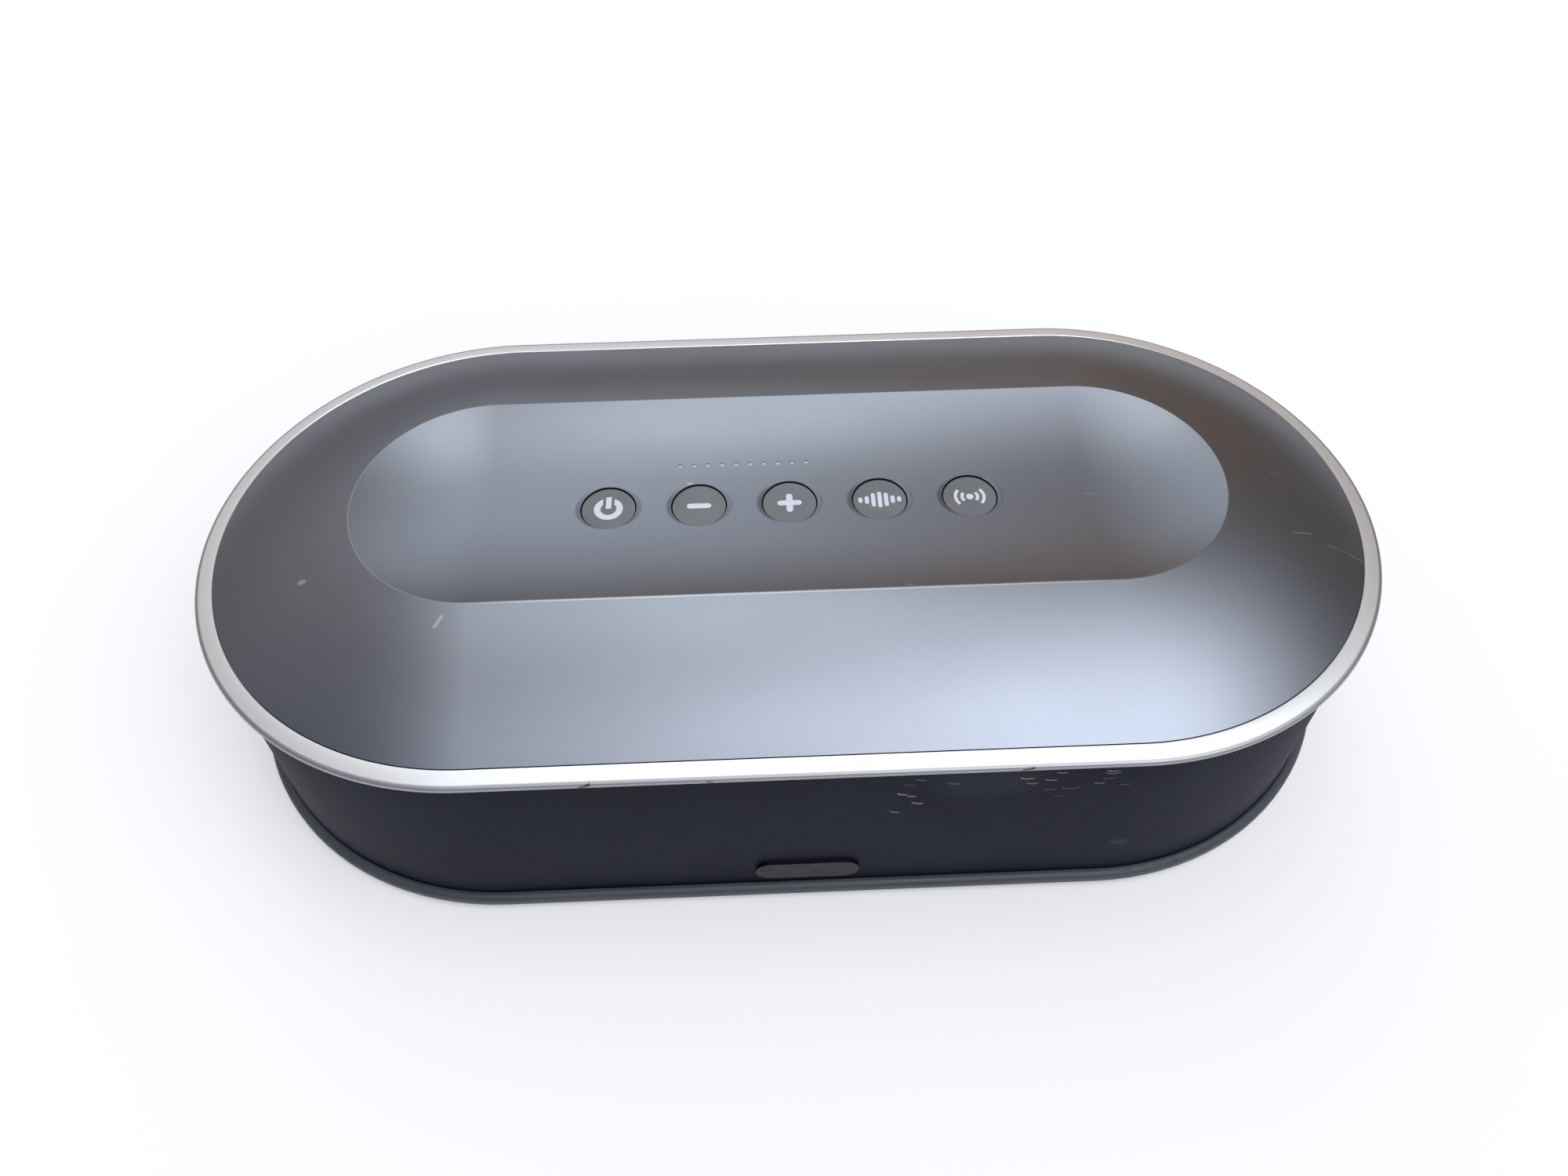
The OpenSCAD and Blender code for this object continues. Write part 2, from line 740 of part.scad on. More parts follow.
module driver_frame(x) {
    wall = driver_hole_r - 0.3;
    color("#2a2a2d") on_box_front(x) difference() {
        rotate_extrude()
            polygon([[wall - 0.7, frame_front], [driver_r, frame_front], [driver_r, 0], [wall, 0],
                     [wall - 3.5, -basket_h], [wall - 3.5, -basket_h - back_t], [gap_r, -basket_h - back_t],
                     [gap_r, -basket_h], [wall - 5.2, -basket_h], [wall - 5.2, spider_z],
                     [wall - 4.3, spider_z], [wall - 1.2, 0]]);
        for (a = [45:90:315]) rotate([0, 0, a]) translate([wall - 5, 0, -4.6])
            rotate([0, 90, 0]) cylinder(d = 6, h = 8);
    }
}

module driver_suspension(x) {
    color("#121314") on_box_front(x) rotate_extrude() {
        translate([roll_mid, frame_front]) difference() {
            circle(r = roll_r);
            circle(r = roll_r - skin_t);
            span(-roll_r - over, roll_r + over, -roll_r - over, 0);
        }
        span(roll_mid + roll_r - skin_t, driver_r - 0.8, frame_front, frame_front + skin_t);
        span(coil_r + 0.35, driver_hole_r - 4.9, spider_z, spider_z + skin_t);
    }
}

module driver_cone(x) {
    cap_r = 7;
    cap_z = cone_neck_z - sqrt(cap_r * cap_r - coil_r * coil_r);
    color("#1b1c20") on_box_front(x) rotate_extrude() {
        polygon([[cone_r, frame_front - 0.1], [cone_r, frame_front + skin_t], [cone_r - 0.8, frame_front + skin_t],
                 [coil_r, cone_neck_z], [coil_r - former_t, cone_neck_z], [coil_r - former_t, former_end],
                 [coil_r, former_end], [coil_r, cone_neck_z - 0.8], [cone_r - 0.6, frame_front - 0.1]]);
        intersection() {
            translate([0, cap_z]) difference() {
                circle(r = cap_r);
                circle(r = cap_r - 0.5);
            }
            span(0, coil_r, cone_neck_z - 0.2, cone_neck_z + cap_r);
        }
    }
}

module voice_coil(x) {
    color("#b8703a") on_box_front(x) rotate_extrude()
        span(coil_r, coil_r + 0.3, former_end + 0.4, former_end + 3.4);
}

module driver_yoke(x) {
    top_z = -basket_h - back_t;
    back_z = top_z - top_pole_t - magnet_t;
    color("#9a9da1") on_box_front(x) rotate_extrude() {
        span(gap_r, magnet_r - 1, top_z - top_pole_t, top_z);
        span(0, magnet_r - 1, back_z - 2, back_z);
        span(0, pole_r, back_z - 0.1, top_z - 0.2);
    }
}

module driver_magnet(x) {
    top_z = -basket_h - back_t - top_pole_t;
    color("#3b3b3f") on_box_front(x) rotate_extrude()
        span(gap_r + 1.6, magnet_r, top_z - magnet_t, top_z);
}

module passive_surround() {
    color("#141516") on_box_front(0) around(passive_run) {
        translate([passive_roll_mid, 0]) difference() {
            circle(r = passive_roll_r);
            circle(r = passive_roll_r - skin_t);
            span(-passive_roll_r - over, passive_roll_r + over, -passive_roll_r - over, 0);
        }
        span(passive_roll_mid + passive_roll_r - skin_t, passive_rim_r, 0, skin_t);
    }
}

module passive_plate() {
    color("#6c6f74") on_box_front(0) around(passive_run) {
        span(0, passive_r, -0.8, 0.8);
        span(0, passive_r - 3, 0.7, 1.4);
    }
}

// ---------- battery ----------

module battery_cells() {
    color("#2f6fb0") for (z = CELL_Z)
        translate([cells_end - cell_l, cell_y, z]) rotate([0, 90, 0]) cylinder(d = cell_d, h = cell_l);
}

module battery_cradle() {
    hollow_r = cell_d / 2 + cell_gap;
    color("#303236") difference() {
        union() {
            difference() {
                block([cells_end - cell_l - cradle_t, cradle_front, floor_z],
                      [cradle_end, cradle_front + cradle_w, floor_z + cradle_h]);
                translate([cells_end - cell_l, cell_y, 0]) rotate([90, 0, 90]) linear_extrude(cell_l) {
                    translate([0, CELL_Z[0]]) circle(r = hollow_r);
                    translate([-hollow_r, CELL_Z[0]]) square([2 * hollow_r, cell_d * 2]);
                }
            }
            for (at = BATTERY_EARS) {
                post(at, ear_d, pillar_z, pillar_z + ear_t);
                block([at[0] - ear_d / 2, cradle_front + cradle_w - 1, pillar_z],
                      [at[0] + ear_d / 2, at[1], pillar_z + ear_t]);
            }
        }
        for (at = BATTERY_EARS) post(at, screw_hole_d, pillar_z - over, pillar_z + ear_t + over);
    }
}

module battery_lead() {
    color("#b32222") for (i = [-1, 1])
        translate([cradle_end, battery_plug_y + i * 0.9, board_top + 2]) rotate([0, 90, 0])
            cylinder(d = wire_d, h = board_left + 2 - cradle_end);
}

// ---------- main board and ports ----------

module main_board() {
    color("#1f5a3a") difference() {
        translate([port_x, (board_front + board_back) / 2, board_z]) linear_extrude(board_t)
            round_rect(board_l, board_d, 1.5);
        for (at = BOARD_POSTS) post(at, screw_hole_d, board_z - over, board_top + over);
    }
}

module shield_can() {
    can = [20, 15, 2.6];
    can_t = 0.3;
    at = [port_x - 4, board_front + 9, board_top];
    color("#b7babd") difference() {
        translate(at) cube(can);
        translate(at + [can_t, can_t, -over]) cube([can[0] - 2 * can_t, can[1] - 2 * can_t, can[2] - can_t + over]);
    }
}

module board_parts() {
    color("#1c1c1e") {
        // battery and speaker plugs, and the flat cable's connector
        block([board_left + 2, battery_plug_y - plug_w / 2, board_top],
              [board_left + 6, battery_plug_y + plug_w / 2, board_top + 4]);
        block([speaker_plug_x - 3.5, board_front + 1, board_top],
              [speaker_plug_x + 3.5, board_front + 5, board_top + 4]);
        block([ribbon_x - ribbon_w / 2 - 1, ribbon_low_y - 1.5, board_top],
              [ribbon_x + ribbon_w / 2 + 1, ribbon_low_y + 1.5, board_top + connector_h]);
        // processor under the can, amplifier and charger beside it
        block([port_x - 1, board_front + 12, board_top], [port_x + 8, board_front + 21, board_top + 1.1]);
        block([port_x + 19, board_front + 10, board_top], [port_x + 26, board_front + 17, board_top + 1.1]);
        block([port_x - 24, board_back - 15, board_top], [port_x - 19, board_back - 10, board_top + 1]);
        // capacitors and coils
        for (i = [0:2]) post([port_x + 18.5 + i * 3.9, board_front + 21], 3.4, board_top, board_top + 5.4);
        for (i = [0:1])
            translate([port_x - 14 + i * 6.5, board_back - 14, board_top + 1.4]) cube([5, 5, 2.8], center = true);
    }
}

module usb_socket() {
    color("#c4c7ca") difference() {
        slab_y(port_mouth - usb_l, port_mouth) translate([port_x - port_step, usb_mid_z])
            round_rect(usb_w, usb_h, usb_h / 2 - 0.1);
        slab_y(port_mouth - usb_l + 1, port_mouth + over) translate([port_x - port_step, usb_mid_z])
            difference() {
                round_rect(usb_w - 2 * usb_wall, usb_h - 2 * usb_wall, usb_h / 2 - 0.1 - usb_wall);
                square([6.2, 0.7], center = true);
            }
    }
}

module aux_socket() {
    color("#141414") difference() {
        union() {
            block([port_x + port_step - aux_w / 2, port_mouth - aux_bore_l - 1, board_top],
                  [port_x + port_step + aux_w / 2, panel_back - port_gap, board_top + aux_h]);
            translate([port_x + port_step, port_mouth, aux_mid_z]) rotate([90, 0, 0])
                cylinder(d = aux_nose_d - 1.4, h = port_mouth - panel_back + 1);
        }
        translate([port_x + port_step, port_mouth + over, aux_mid_z]) rotate([90, 0, 0])
            cylinder(d = aux_bore_d, h = aux_bore_l + over);
    }
}

module port_panel() {
    flange_w = panel_w + 5;
    panel_mid = panel_z + panel_flange_h / 2;
    color("#1b1c1f") difference() {
        union() {
            slab_y(panel_back, panel_back + panel_flange_t) translate([port_x, panel_mid])
                round_rect(flange_w, panel_flange_h, 1);
            slab_y(panel_back + panel_flange_t - 0.1, panel_out) translate([port_x, window_z + window_h / 2])
                round_rect(panel_w, window_h, 0.5);
        }
        slab_y(panel_back - over, panel_out + over) {
            translate([port_x - port_step, usb_mid_z])
                round_rect(usb_w + 2 * port_gap, usb_h + 2 * port_gap, usb_h / 2);
            translate([port_x + port_step, aux_mid_z]) circle(d = aux_nose_d - 1.4 + 2 * port_gap);
        }
    }
}

// ---------- leads and screws ----------

module ribbon_cable() {
    low = board_top + connector_h;
    high = key_board_z - connector_h;
    mid_y = (ribbon_low_y + ribbon_high_y) / 2 + ribbon_slack;
    color("#d9b36a") translate([ribbon_x - ribbon_w / 2, 0, 0]) rotate([90, 0, 90]) linear_extrude(ribbon_w)
        polygon([[ribbon_low_y, low], [ribbon_low_y + ribbon_t, low], [mid_y + ribbon_t, (low + high) / 2],
                 [ribbon_high_y + ribbon_t, high], [ribbon_high_y, high], [mid_y, (low + high) / 2]]);
}

module speaker_leads() {
    color("#c8c8c8") for (i = [-1.5:1:1.5])
        translate([speaker_plug_x + i * 1.6, board_front + 1, board_top + 2]) rotate([90, 0, 0])
            cylinder(d = wire_d, h = board_front + 1 - box_back);
}

module case_screws() {
    head_top = base_z + case_head_well;
    color("#8a8d90") for (at = PILLARS) difference() {
        union() {
            post(at, case_head_d, head_top - case_head_h, head_top);
            post(at, case_screw_d, head_top - 0.1, head_top + case_screw_l);
        }
        translate([at[0], at[1], head_top - case_head_h - over]) cylinder(d = 2.2, h = over + 0.9, $fn = 6);
    }
}

// One small screw: its head stands on z = 0 and its shank points down
module small_screw() {
    difference() {
        union() {
            cylinder(d = screw_head_d, h = screw_head_h);
            translate([0, 0, -screw_l]) cylinder(d = screw_d, h = screw_l + 0.1);
        }
        for (a = [0, 90]) rotate([0, 0, a]) translate([-1, -0.2, screw_head_h - 0.6]) cube([2, 0.4, 1]);
    }
}

module plate_screws() {
    color("#9a9da0") for (at = PLATE_POSTS)
        translate([at[0], at[1], frame_z]) rotate([180, 0, 0]) small_screw();
}

module inner_screws() {
    color("#9a9da0") {
        for (at = KEY_POSTS) translate([at[0], at[1], key_board_z]) rotate([180, 0, 0]) small_screw();
        for (at = BOARD_POSTS) translate([at[0], at[1], board_top]) small_screw();
        for (at = concat(BOX_EARS, BATTERY_EARS)) translate([at[0], at[1], pillar_z + ear_t]) small_screw();
        for (at = BOX_POSTS) translate([at[0], box_back, at[1]]) rotate([-90, 0, 0]) small_screw();
    }
}

base_tray();
foot_ring();
grille();
badge_blank();
trim_ring();
top_frame();
top_plate();
key(0);  // power_key
key(1);  // volume_down_key
key(2);  // volume_up_key
key(3);  // voice_key
key(4);  // pairing_key
legend(0);  // power_legend
legend(1);  // volume_down_legend
legend(2);  // volume_up_legend
legend(3);  // voice_legend
legend(4);  // pairing_legend
plunger(0);  // power_plunger
plunger(1);  // volume_down_plunger
plunger(2);  // volume_up_plunger
plunger(3);  // voice_plunger
plunger(4);  // pairing_plunger
switch_housings();
key_board();
indicator_leds();
light_guide();
microphones();
microphone_boots();
speaker_box();
speaker_box_gasket();
speaker_box_cover();
driver_frame(-driver_x);  // left_driver_frame
driver_magnet(-driver_x);  // left_driver_magnet
driver_yoke(-driver_x);  // left_driver_yoke
driver_suspension(-driver_x);  // left_driver_suspension
driver_cone(-driver_x);  // left_driver_cone
voice_coil(-driver_x);  // left_voice_coil
driver_frame(driver_x);  // right_driver_frame
driver_magnet(driver_x);  // right_driver_magnet
driver_yoke(driver_x);  // right_driver_yoke
driver_suspension(driver_x);  // right_driver_suspension
driver_cone(driver_x);  // right_driver_cone
voice_coil(driver_x);  // right_voice_coil
passive_surround();
passive_plate();
battery_cells();
battery_cradle();
battery_lead();
main_board();
shield_can();
board_parts();
usb_socket();
aux_socket();
port_panel();
ribbon_cable();
speaker_leads();
case_screws();
plate_screws();
inner_screws();
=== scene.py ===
"""Looks of a round-ended conference speakerphone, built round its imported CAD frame.

Everything is in metres in the frame's own axes: +X right, +Y back, +Z up. Sizes are written in
millimetres inside mm(), which turns them into metres. Lengths inside the materials, and in their
tables, stay in millimetres.
"""
import json
import math

import bmesh
import bpy
from mathutils import Matrix, Quaternion, Vector


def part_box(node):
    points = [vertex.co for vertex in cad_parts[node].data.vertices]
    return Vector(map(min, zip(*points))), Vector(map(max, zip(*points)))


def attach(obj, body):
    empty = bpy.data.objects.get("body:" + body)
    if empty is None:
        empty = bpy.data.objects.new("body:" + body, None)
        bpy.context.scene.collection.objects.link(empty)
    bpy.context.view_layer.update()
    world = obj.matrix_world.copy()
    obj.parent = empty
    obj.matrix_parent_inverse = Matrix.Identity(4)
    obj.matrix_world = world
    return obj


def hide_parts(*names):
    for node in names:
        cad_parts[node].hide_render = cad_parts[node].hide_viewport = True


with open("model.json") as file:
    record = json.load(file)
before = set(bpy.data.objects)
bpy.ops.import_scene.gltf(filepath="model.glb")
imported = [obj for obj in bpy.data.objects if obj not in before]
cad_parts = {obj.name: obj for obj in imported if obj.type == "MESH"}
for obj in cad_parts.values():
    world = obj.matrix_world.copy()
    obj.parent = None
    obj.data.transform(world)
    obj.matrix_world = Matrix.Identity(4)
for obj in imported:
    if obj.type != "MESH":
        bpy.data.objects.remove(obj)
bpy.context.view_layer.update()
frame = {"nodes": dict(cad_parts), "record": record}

KEYS = ("power", "volume_down", "volume_up", "voice", "pairing")


def mm(value):
    return value / 1000


# ---------- sizes taken from the frame ----------

_, PLATE_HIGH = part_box("top_plate")
TRIM_LOW, TRIM_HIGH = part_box("trim_ring")
GRILLE_LOW, GRILLE_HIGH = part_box("grille")
PANEL_LOW, PANEL_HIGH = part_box("port_panel")
PLATE_REACH = PLATE_HIGH.y
TRIM_REACH = TRIM_HIGH.y
RUN = 2 * (PLATE_HIGH.x - PLATE_REACH)
EDGE_Z = TRIM_HIGH.z
TRIM_Z = TRIM_LOW.z
CREST_RISE = PLATE_HIGH.z - EDGE_Z

# ---------- curves of the top plate, in reach from the centre line and height ----------

SCOOP_HALF = mm(26.4)
SCOOP_Z = EDGE_Z + mm(5.6)
DOME_RADIUS = mm(100)
PLATE_THICK = mm(2.2)
PLATE_RIM_H = mm(1.1)
PLATE_RIM_T = mm(1.6)
CREST_SOFT = mm(0.5)
SCOOP_SAG = EDGE_Z + CREST_RISE - SCOOP_Z
SCOOP_RADIUS = (SCOOP_HALF ** 2 + SCOOP_SAG ** 2) / (2 * SCOOP_SAG)
SCOOP_AXIS = Vector((0, SCOOP_Z + SCOOP_RADIUS))
BAND_W = PLATE_REACH - SCOOP_HALF
BAND_CHORD = math.hypot(BAND_W, CREST_RISE)
BAND_DROP = math.sqrt(DOME_RADIUS ** 2 - BAND_CHORD ** 2 / 4)
DOME_AXIS = Vector(((SCOOP_HALF + PLATE_REACH) / 2 - BAND_DROP * CREST_RISE / BAND_CHORD,
                    EDGE_Z + CREST_RISE / 2 - BAND_DROP * BAND_W / BAND_CHORD))

# ---------- keys and indicator holes ----------

KEY_HOLE_R = mm(5.62)
KEY_SHOULDER_W = mm(0.85)
KEY_SHOULDER_H = mm(0.13)
KEY_SHOULDER_TOP = mm(1)
SHOULDER_CLEAR = mm(0.01)
CUTTER_FLARE = mm(1)
KEY_CAP_R = mm(5.35)
KEY_EDGE_W = mm(0.4)
KEY_EDGE_H = mm(0.1)
KEY_FLAT_R = mm(3.2)
KEY_FLANGE_R = mm(6.5)
KEY_FLANGE_H = mm(0.9)
KEY_STEM_R = mm(2)
KEY_STEM_H = mm(1.6)
LEGEND_PROUD = mm(0.03)
DOT_R = mm(0.5)
DOT_CUTTER_TOP = mm(4)
DOT_PITCH = mm(2.87)
DOT_COUNT = 10
DOT_ROW_Y = mm(10.4)

# ---------- trim ring and grille ----------

TRIM_INSET = mm(1.75)
TRIM_GAP = mm(0.15)
TRIM_CHAMFER = mm(0.12)
TRIM_FALL = mm(0.6)
TRIM_CROWN = 1.3
GRILLE_THICK = mm(0.8)
GRILLE_LEAN = mm(0.8)
GRILLE_SOFT = mm(0.25)
GRILLE_SOFT_IN = mm(0.1)
WINDOW_HALF = mm(20)
WINDOW_Z = (mm(9), mm(20))
WINDOW_GAP = mm(0.2)
WINDOW_DEPTH = mm(12)

# ---------- fineness of the meshes ----------

ARC_STEPS = 96
RUN_STEPS = 60
TURN_STEPS = 96
DOT_STEPS = 24
SCOOP_STEPS = 24
CREST_STEPS = 6
DOME_STEPS = 28
UNDER_STEPS = 10
KEY_EDGE_STEPS = 8
KEY_FACE_STEPS = 4
TRIM_FACE_STEPS = 12
TRIM_LIP_STEPS = 18
WELD = 1e-7
SLIVER = mm(0.001)
SAME_HEIGHT = mm(0.01)
# edges that bend by more than these angles in degrees are shaded sharp
TURN_SHARP = 25
PLATE_SHARP = 16
TRIM_SHARP = 40
GRILLE_SHARP = 30


# ---------- mesh helpers ----------

def stations():
    """Places round the body: the nearest point of the centre line, and the way out from it."""
    places = []
    for side in (1, -1):
        for i in range(ARC_STEPS):
            angle = side * -math.pi / 2 + math.pi * i / ARC_STEPS
            places.append((side * RUN / 2, Vector((math.cos(angle), math.sin(angle)))))
        for i in range(RUN_STEPS):
            places.append((side * RUN * (0.5 - i / RUN_STEPS), Vector((0, side))))
    return places


def arc(centre, radius, start, end, steps):
    """Points of an arc from one angle to another, measured from the reach axis."""
    points = []
    for i in range(steps + 1):
        angle = start + (end - start) * i / steps
        points.append(Vector((centre[0] + radius * math.cos(angle),
                              centre[1] + radius * math.sin(angle))))
    return points


def angle_at(centre, point):
    return math.atan2(point[1] - centre[1], point[0] - centre[0])


def meet(first, first_radius, second, second_radius):
    """Where two circles cross, on the outer side."""
    across = second - first
    gap = across.length
    along = (first_radius ** 2 - second_radius ** 2 + gap ** 2) / (2 * gap)
    aside = math.sqrt(first_radius ** 2 - along ** 2)
    across.normalize()
    return first + across * along + Vector((across.y, -across.x)) * aside


def put_in_scene(name, data):
    thing = bpy.data.objects.new(name, data)
    bpy.context.scene.collection.objects.link(thing)
    return thing


def finish_mesh(name, bm, material, body, sharp):
    """Turns a bmesh into a smooth-shaded piece that rides on a body."""
    mesh = bpy.data.meshes.new(name)
    bmesh.ops.recalc_face_normals(bm, faces=bm.faces)
    bm.to_mesh(mesh)
    bm.free()
    mesh.materials.append(material)
    mesh.shade_smooth()
    mesh.set_sharp_from_angle(angle=math.radians(sharp))
    piece = put_in_scene(name, mesh)
    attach(piece, body)
    return piece


def sweep(name, profile, material, sharp, closed=True):
    """Sweeps a profile of reach and height round the body, with a map of run and height."""
    bm = bmesh.new()
    band = bm.loops.layers.uv.new("band")
    places = stations()
    rings = []
    for x, way in places:
        rings.append([bm.verts.new((x + way.x * r, way.y * r, z)) for r, z in profile])
    reach = max(point[0] for point in profile)
    walked = [0.0]
    for i, (x, way) in enumerate(places):
        next_x, next_way = places[(i + 1) % len(places)]
        step = Vector((next_x - x, 0)) + (next_way - way) * reach
        walked.append(walked[-1] + step.length)
    count = len(profile)
    for i, ring in enumerate(rings):
        following = rings[(i + 1) % len(rings)]
        for j in range(count if closed else count - 1):
            k = (j + 1) % count
            face = bm.faces.new((ring[j], following[j], following[k], ring[k]))
            spots = ((i, j), (i + 1, j), (i + 1, k), (i, k))
            for loop, (place, row) in zip(face.loops, spots):
                loop[band].uv = (walked[place], profile[row][1])
    bmesh.ops.remove_doubles(bm, verts=bm.verts, dist=WELD)
    return finish_mesh(name, bm, material, "root", sharp)


def turned(name, profile, at, material, body="root", steps=TURN_STEPS):
    """Turns a profile of radius and height, which starts and ends on it, about an upright axis."""
    bm = bmesh.new()
    rings = []
    for i in range(steps):
        angle = 2 * math.pi * i / steps
        rings.append([bm.verts.new((at[0] + r * math.cos(angle), at[1] + r * math.sin(angle), z))
                      for r, z in profile])
    for i, ring in enumerate(rings):
        following = rings[(i + 1) % steps]
        for j in range(len(profile) - 1):
            bm.faces.new((ring[j], following[j], following[j + 1], ring[j + 1]))
    bmesh.ops.remove_doubles(bm, verts=bm.verts, dist=WELD)
    return finish_mesh(name, bm, material, body, TURN_SHARP)


def cut(piece, cutters):
    """Takes the cutters out of a piece, removes them, and clears the slivers this leaves."""
    for cutter in cutters:
        modifier = piece.modifiers.new("cut", "BOOLEAN")
        modifier.object = cutter
        modifier.solver = "EXACT"
    graph = bpy.context.evaluated_depsgraph_get()
    mesh = bpy.data.meshes.new_from_object(piece.evaluated_get(graph))
    piece.modifiers.clear()
    old = piece.data
    piece.data = mesh
    bpy.data.meshes.remove(old)
    for cutter in cutters:
        bpy.data.objects.remove(cutter)
    bm = bmesh.new()
    bm.from_mesh(mesh)
    many_sided = [face for face in bm.faces if len(face.verts) > 4]
    bmesh.ops.triangulate(bm, faces=many_sided)
    bmesh.ops.dissolve_degenerate(bm, edges=bm.edges, dist=SLIVER)
    bm.to_mesh(mesh)
    bm.free()


# ---------- node helpers ----------

# where in Y the front of the body starts, and from where it counts in full
FRONT_START = -40.0
FRONT_FULL = -45.0
# the share of a stroke's width that keeps its full strength
STROKE_CORE = 0.2
# the span in which most values of a noise lie
NOISE_SPAN = (0.3, 0.7)
MOULDED_TONES = (0.9, 1.12)
MOULDED_PLAY = 0.06
PATCH_SCALE = 0.06
METAL_TONES = (0.9, 1.08)
METAL_PLAY = 0.07
METAL_CLOUD_SCALE = 0.2


def toned(colour, share):
    """A colour made darker or lighter."""
    return tuple(min(1, part * share) for part in colour)


class Nodes:
    """Short calls for building a tree of nodes."""

    def __init__(self, tree):
        self.tree = tree

    def add(self, kind, *inputs, **settings):
        node = self.tree.nodes.new(kind)
        for key, value in settings.items():
            setattr(node, key, value)
        for i, value in enumerate(inputs):
            self.put(node.inputs[i], value)
        return node

    def put(self, socket, value):
        if isinstance(value, bpy.types.NodeSocket):
            self.tree.links.new(value, socket)
        elif value is not None:
            socket.default_value = value

    def math(self, operation, *inputs):
        return self.add("ShaderNodeMath", *inputs, operation=operation).outputs[0]

    def vector(self, operation, *inputs, out=0):
        return self.add("ShaderNodeVectorMath", *inputs, operation=operation).outputs[out]

    def join(self, operation, values):
        """Works through a list of values, two at a time."""
        total = values[0]
        for value in values[1:]:
            total = self.math(operation, total, value)
        return total


class Graph(Nodes):
    """The nodes of one material."""

    def __init__(self, name, colour, roughness, metallic=0.0, specular=0.5):
        self.material = bpy.data.materials.new(name)
        self.material.use_nodes = True
        self.tree = self.material.node_tree
        self.surface = self.tree.nodes["Principled BSDF"]
        self.surface.inputs["Base Color"].default_value = (*colour, 1)
        self.surface.inputs["Roughness"].default_value = roughness
        self.surface.inputs["Metallic"].default_value = metallic
        self.surface.inputs["Specular IOR Level"].default_value = specular

    def into(self, name, value):
        self.put(self.surface.inputs[name], value)

    def place(self):
        """The point's place in millimetres."""
        spot = self.add("ShaderNodeTexCoord").outputs["Object"]
        return self.vector("MULTIPLY", spot, (1000, 1000, 1000))

    def parts(self, spot):
        return self.add("ShaderNodeSeparateXYZ", spot).outputs

    def from_front(self, parts):
        """A place as X and Z, and its share: 1 on the front of the body, 0 on its other sides."""
        flat = self.add("ShaderNodeCombineXYZ", parts[0], parts[2], 0.0).outputs[0]
        return flat, self.spread(parts[1], FRONT_START, FRONT_FULL, 0.0, 1.0)

    def noise(self, where, scale, detail, rough=0.5):
        """Noise whose scale is features per millimetre."""
        return self.add("ShaderNodeTexNoise", where, None, scale, detail, rough).outputs["Fac"]

    def spread(self, value, low, high, to_low, to_high):
        """Maps a value from one span to another, and holds it inside."""
        return self.add("ShaderNodeMapRange", value, low, high, to_low, to_high,
                        interpolation_type="SMOOTHSTEP").outputs[0]

    def mix(self, share, first, second):
        node = self.add("ShaderNodeMix", data_type="RGBA")
        self.put(node.inputs["Factor"], share)
        for name, value in (("A", first), ("B", second)):
            socket = next(s for s in node.inputs if s.name == name and s.type == "RGBA")
            self.put(socket, (*value, 1) if isinstance(value, tuple) else value)
        return next(s for s in node.outputs if s.type == "RGBA")

    def relief(self, height, depth):
        """Raises the surface by a height from 0 to 1, times a depth."""
        node = self.add("ShaderNodeBump")
        node.inputs["Strength"].default_value = 1.0
        node.inputs["Distance"].default_value = mm(depth)
        self.put(node.inputs["Height"], height)
        self.into("Normal", node.outputs["Normal"])

    def stroke(self, where, middle, length, width, turn, bend=0.0):
        """A soft scratch from 0 to 1: a short line across two axes, whose ends may curl up."""
        spot = self.vector("SUBTRACT", where, (*middle, 0))
        spot = self.add("ShaderNodeVectorRotate", spot, None, None, math.radians(-turn),
                        rotation_type="Z_AXIS").outputs[0]
        parts = self.parts(spot)
        along = self.math("SUBTRACT", self.math("ABSOLUTE", parts[0]), length / 2)
        along = self.math("MAXIMUM", along, 0.0)
        across = parts[1]
        if bend:
            curl = self.math("MULTIPLY", self.math("MULTIPLY", parts[0], parts[0]), bend)
            across = self.math("SUBTRACT", across, curl)
        away = self.add("ShaderNodeCombineXYZ", along, across, 0.0).outputs[0]
        away = self.vector("LENGTH", away, out=1)
        return self.spread(away, width * STROKE_CORE, width, 1.0, 0.0)

    def strokes(self, where, table, thin=1.0, bend=0.0, blend="MAXIMUM"):
        """All the strokes of a table, each with its own strength."""
        return self.join(blend, [
            self.math("MULTIPLY",
                      self.stroke(where, (x, y), length, width * thin, turn, bend), strength)
            for x, y, length, width, turn, strength in table])


def moulded(name, colour, roughness, grain=0.25, depth=0.02, specular=0.5):
    """Moulded plastic: a fine spark-eroded grain of a size, and slight patches of handling."""
    g = Graph(name, colour, roughness, specular=specular)
    spot = g.place()
    patches = g.noise(spot, PATCH_SCALE, 4.0, 0.6)
    grit = g.noise(spot, 1 / grain, 2.0, 0.6)
    shade = g.spread(patches, *NOISE_SPAN, 0.0, 1.0)
    g.into("Base Color", g.mix(shade, *(toned(colour, share) for share in MOULDED_TONES)))
    g.into("Roughness", g.spread(patches, *NOISE_SPAN,
                                 roughness - MOULDED_PLAY, roughness + MOULDED_PLAY))
    g.relief(grit, depth)
    return g.material


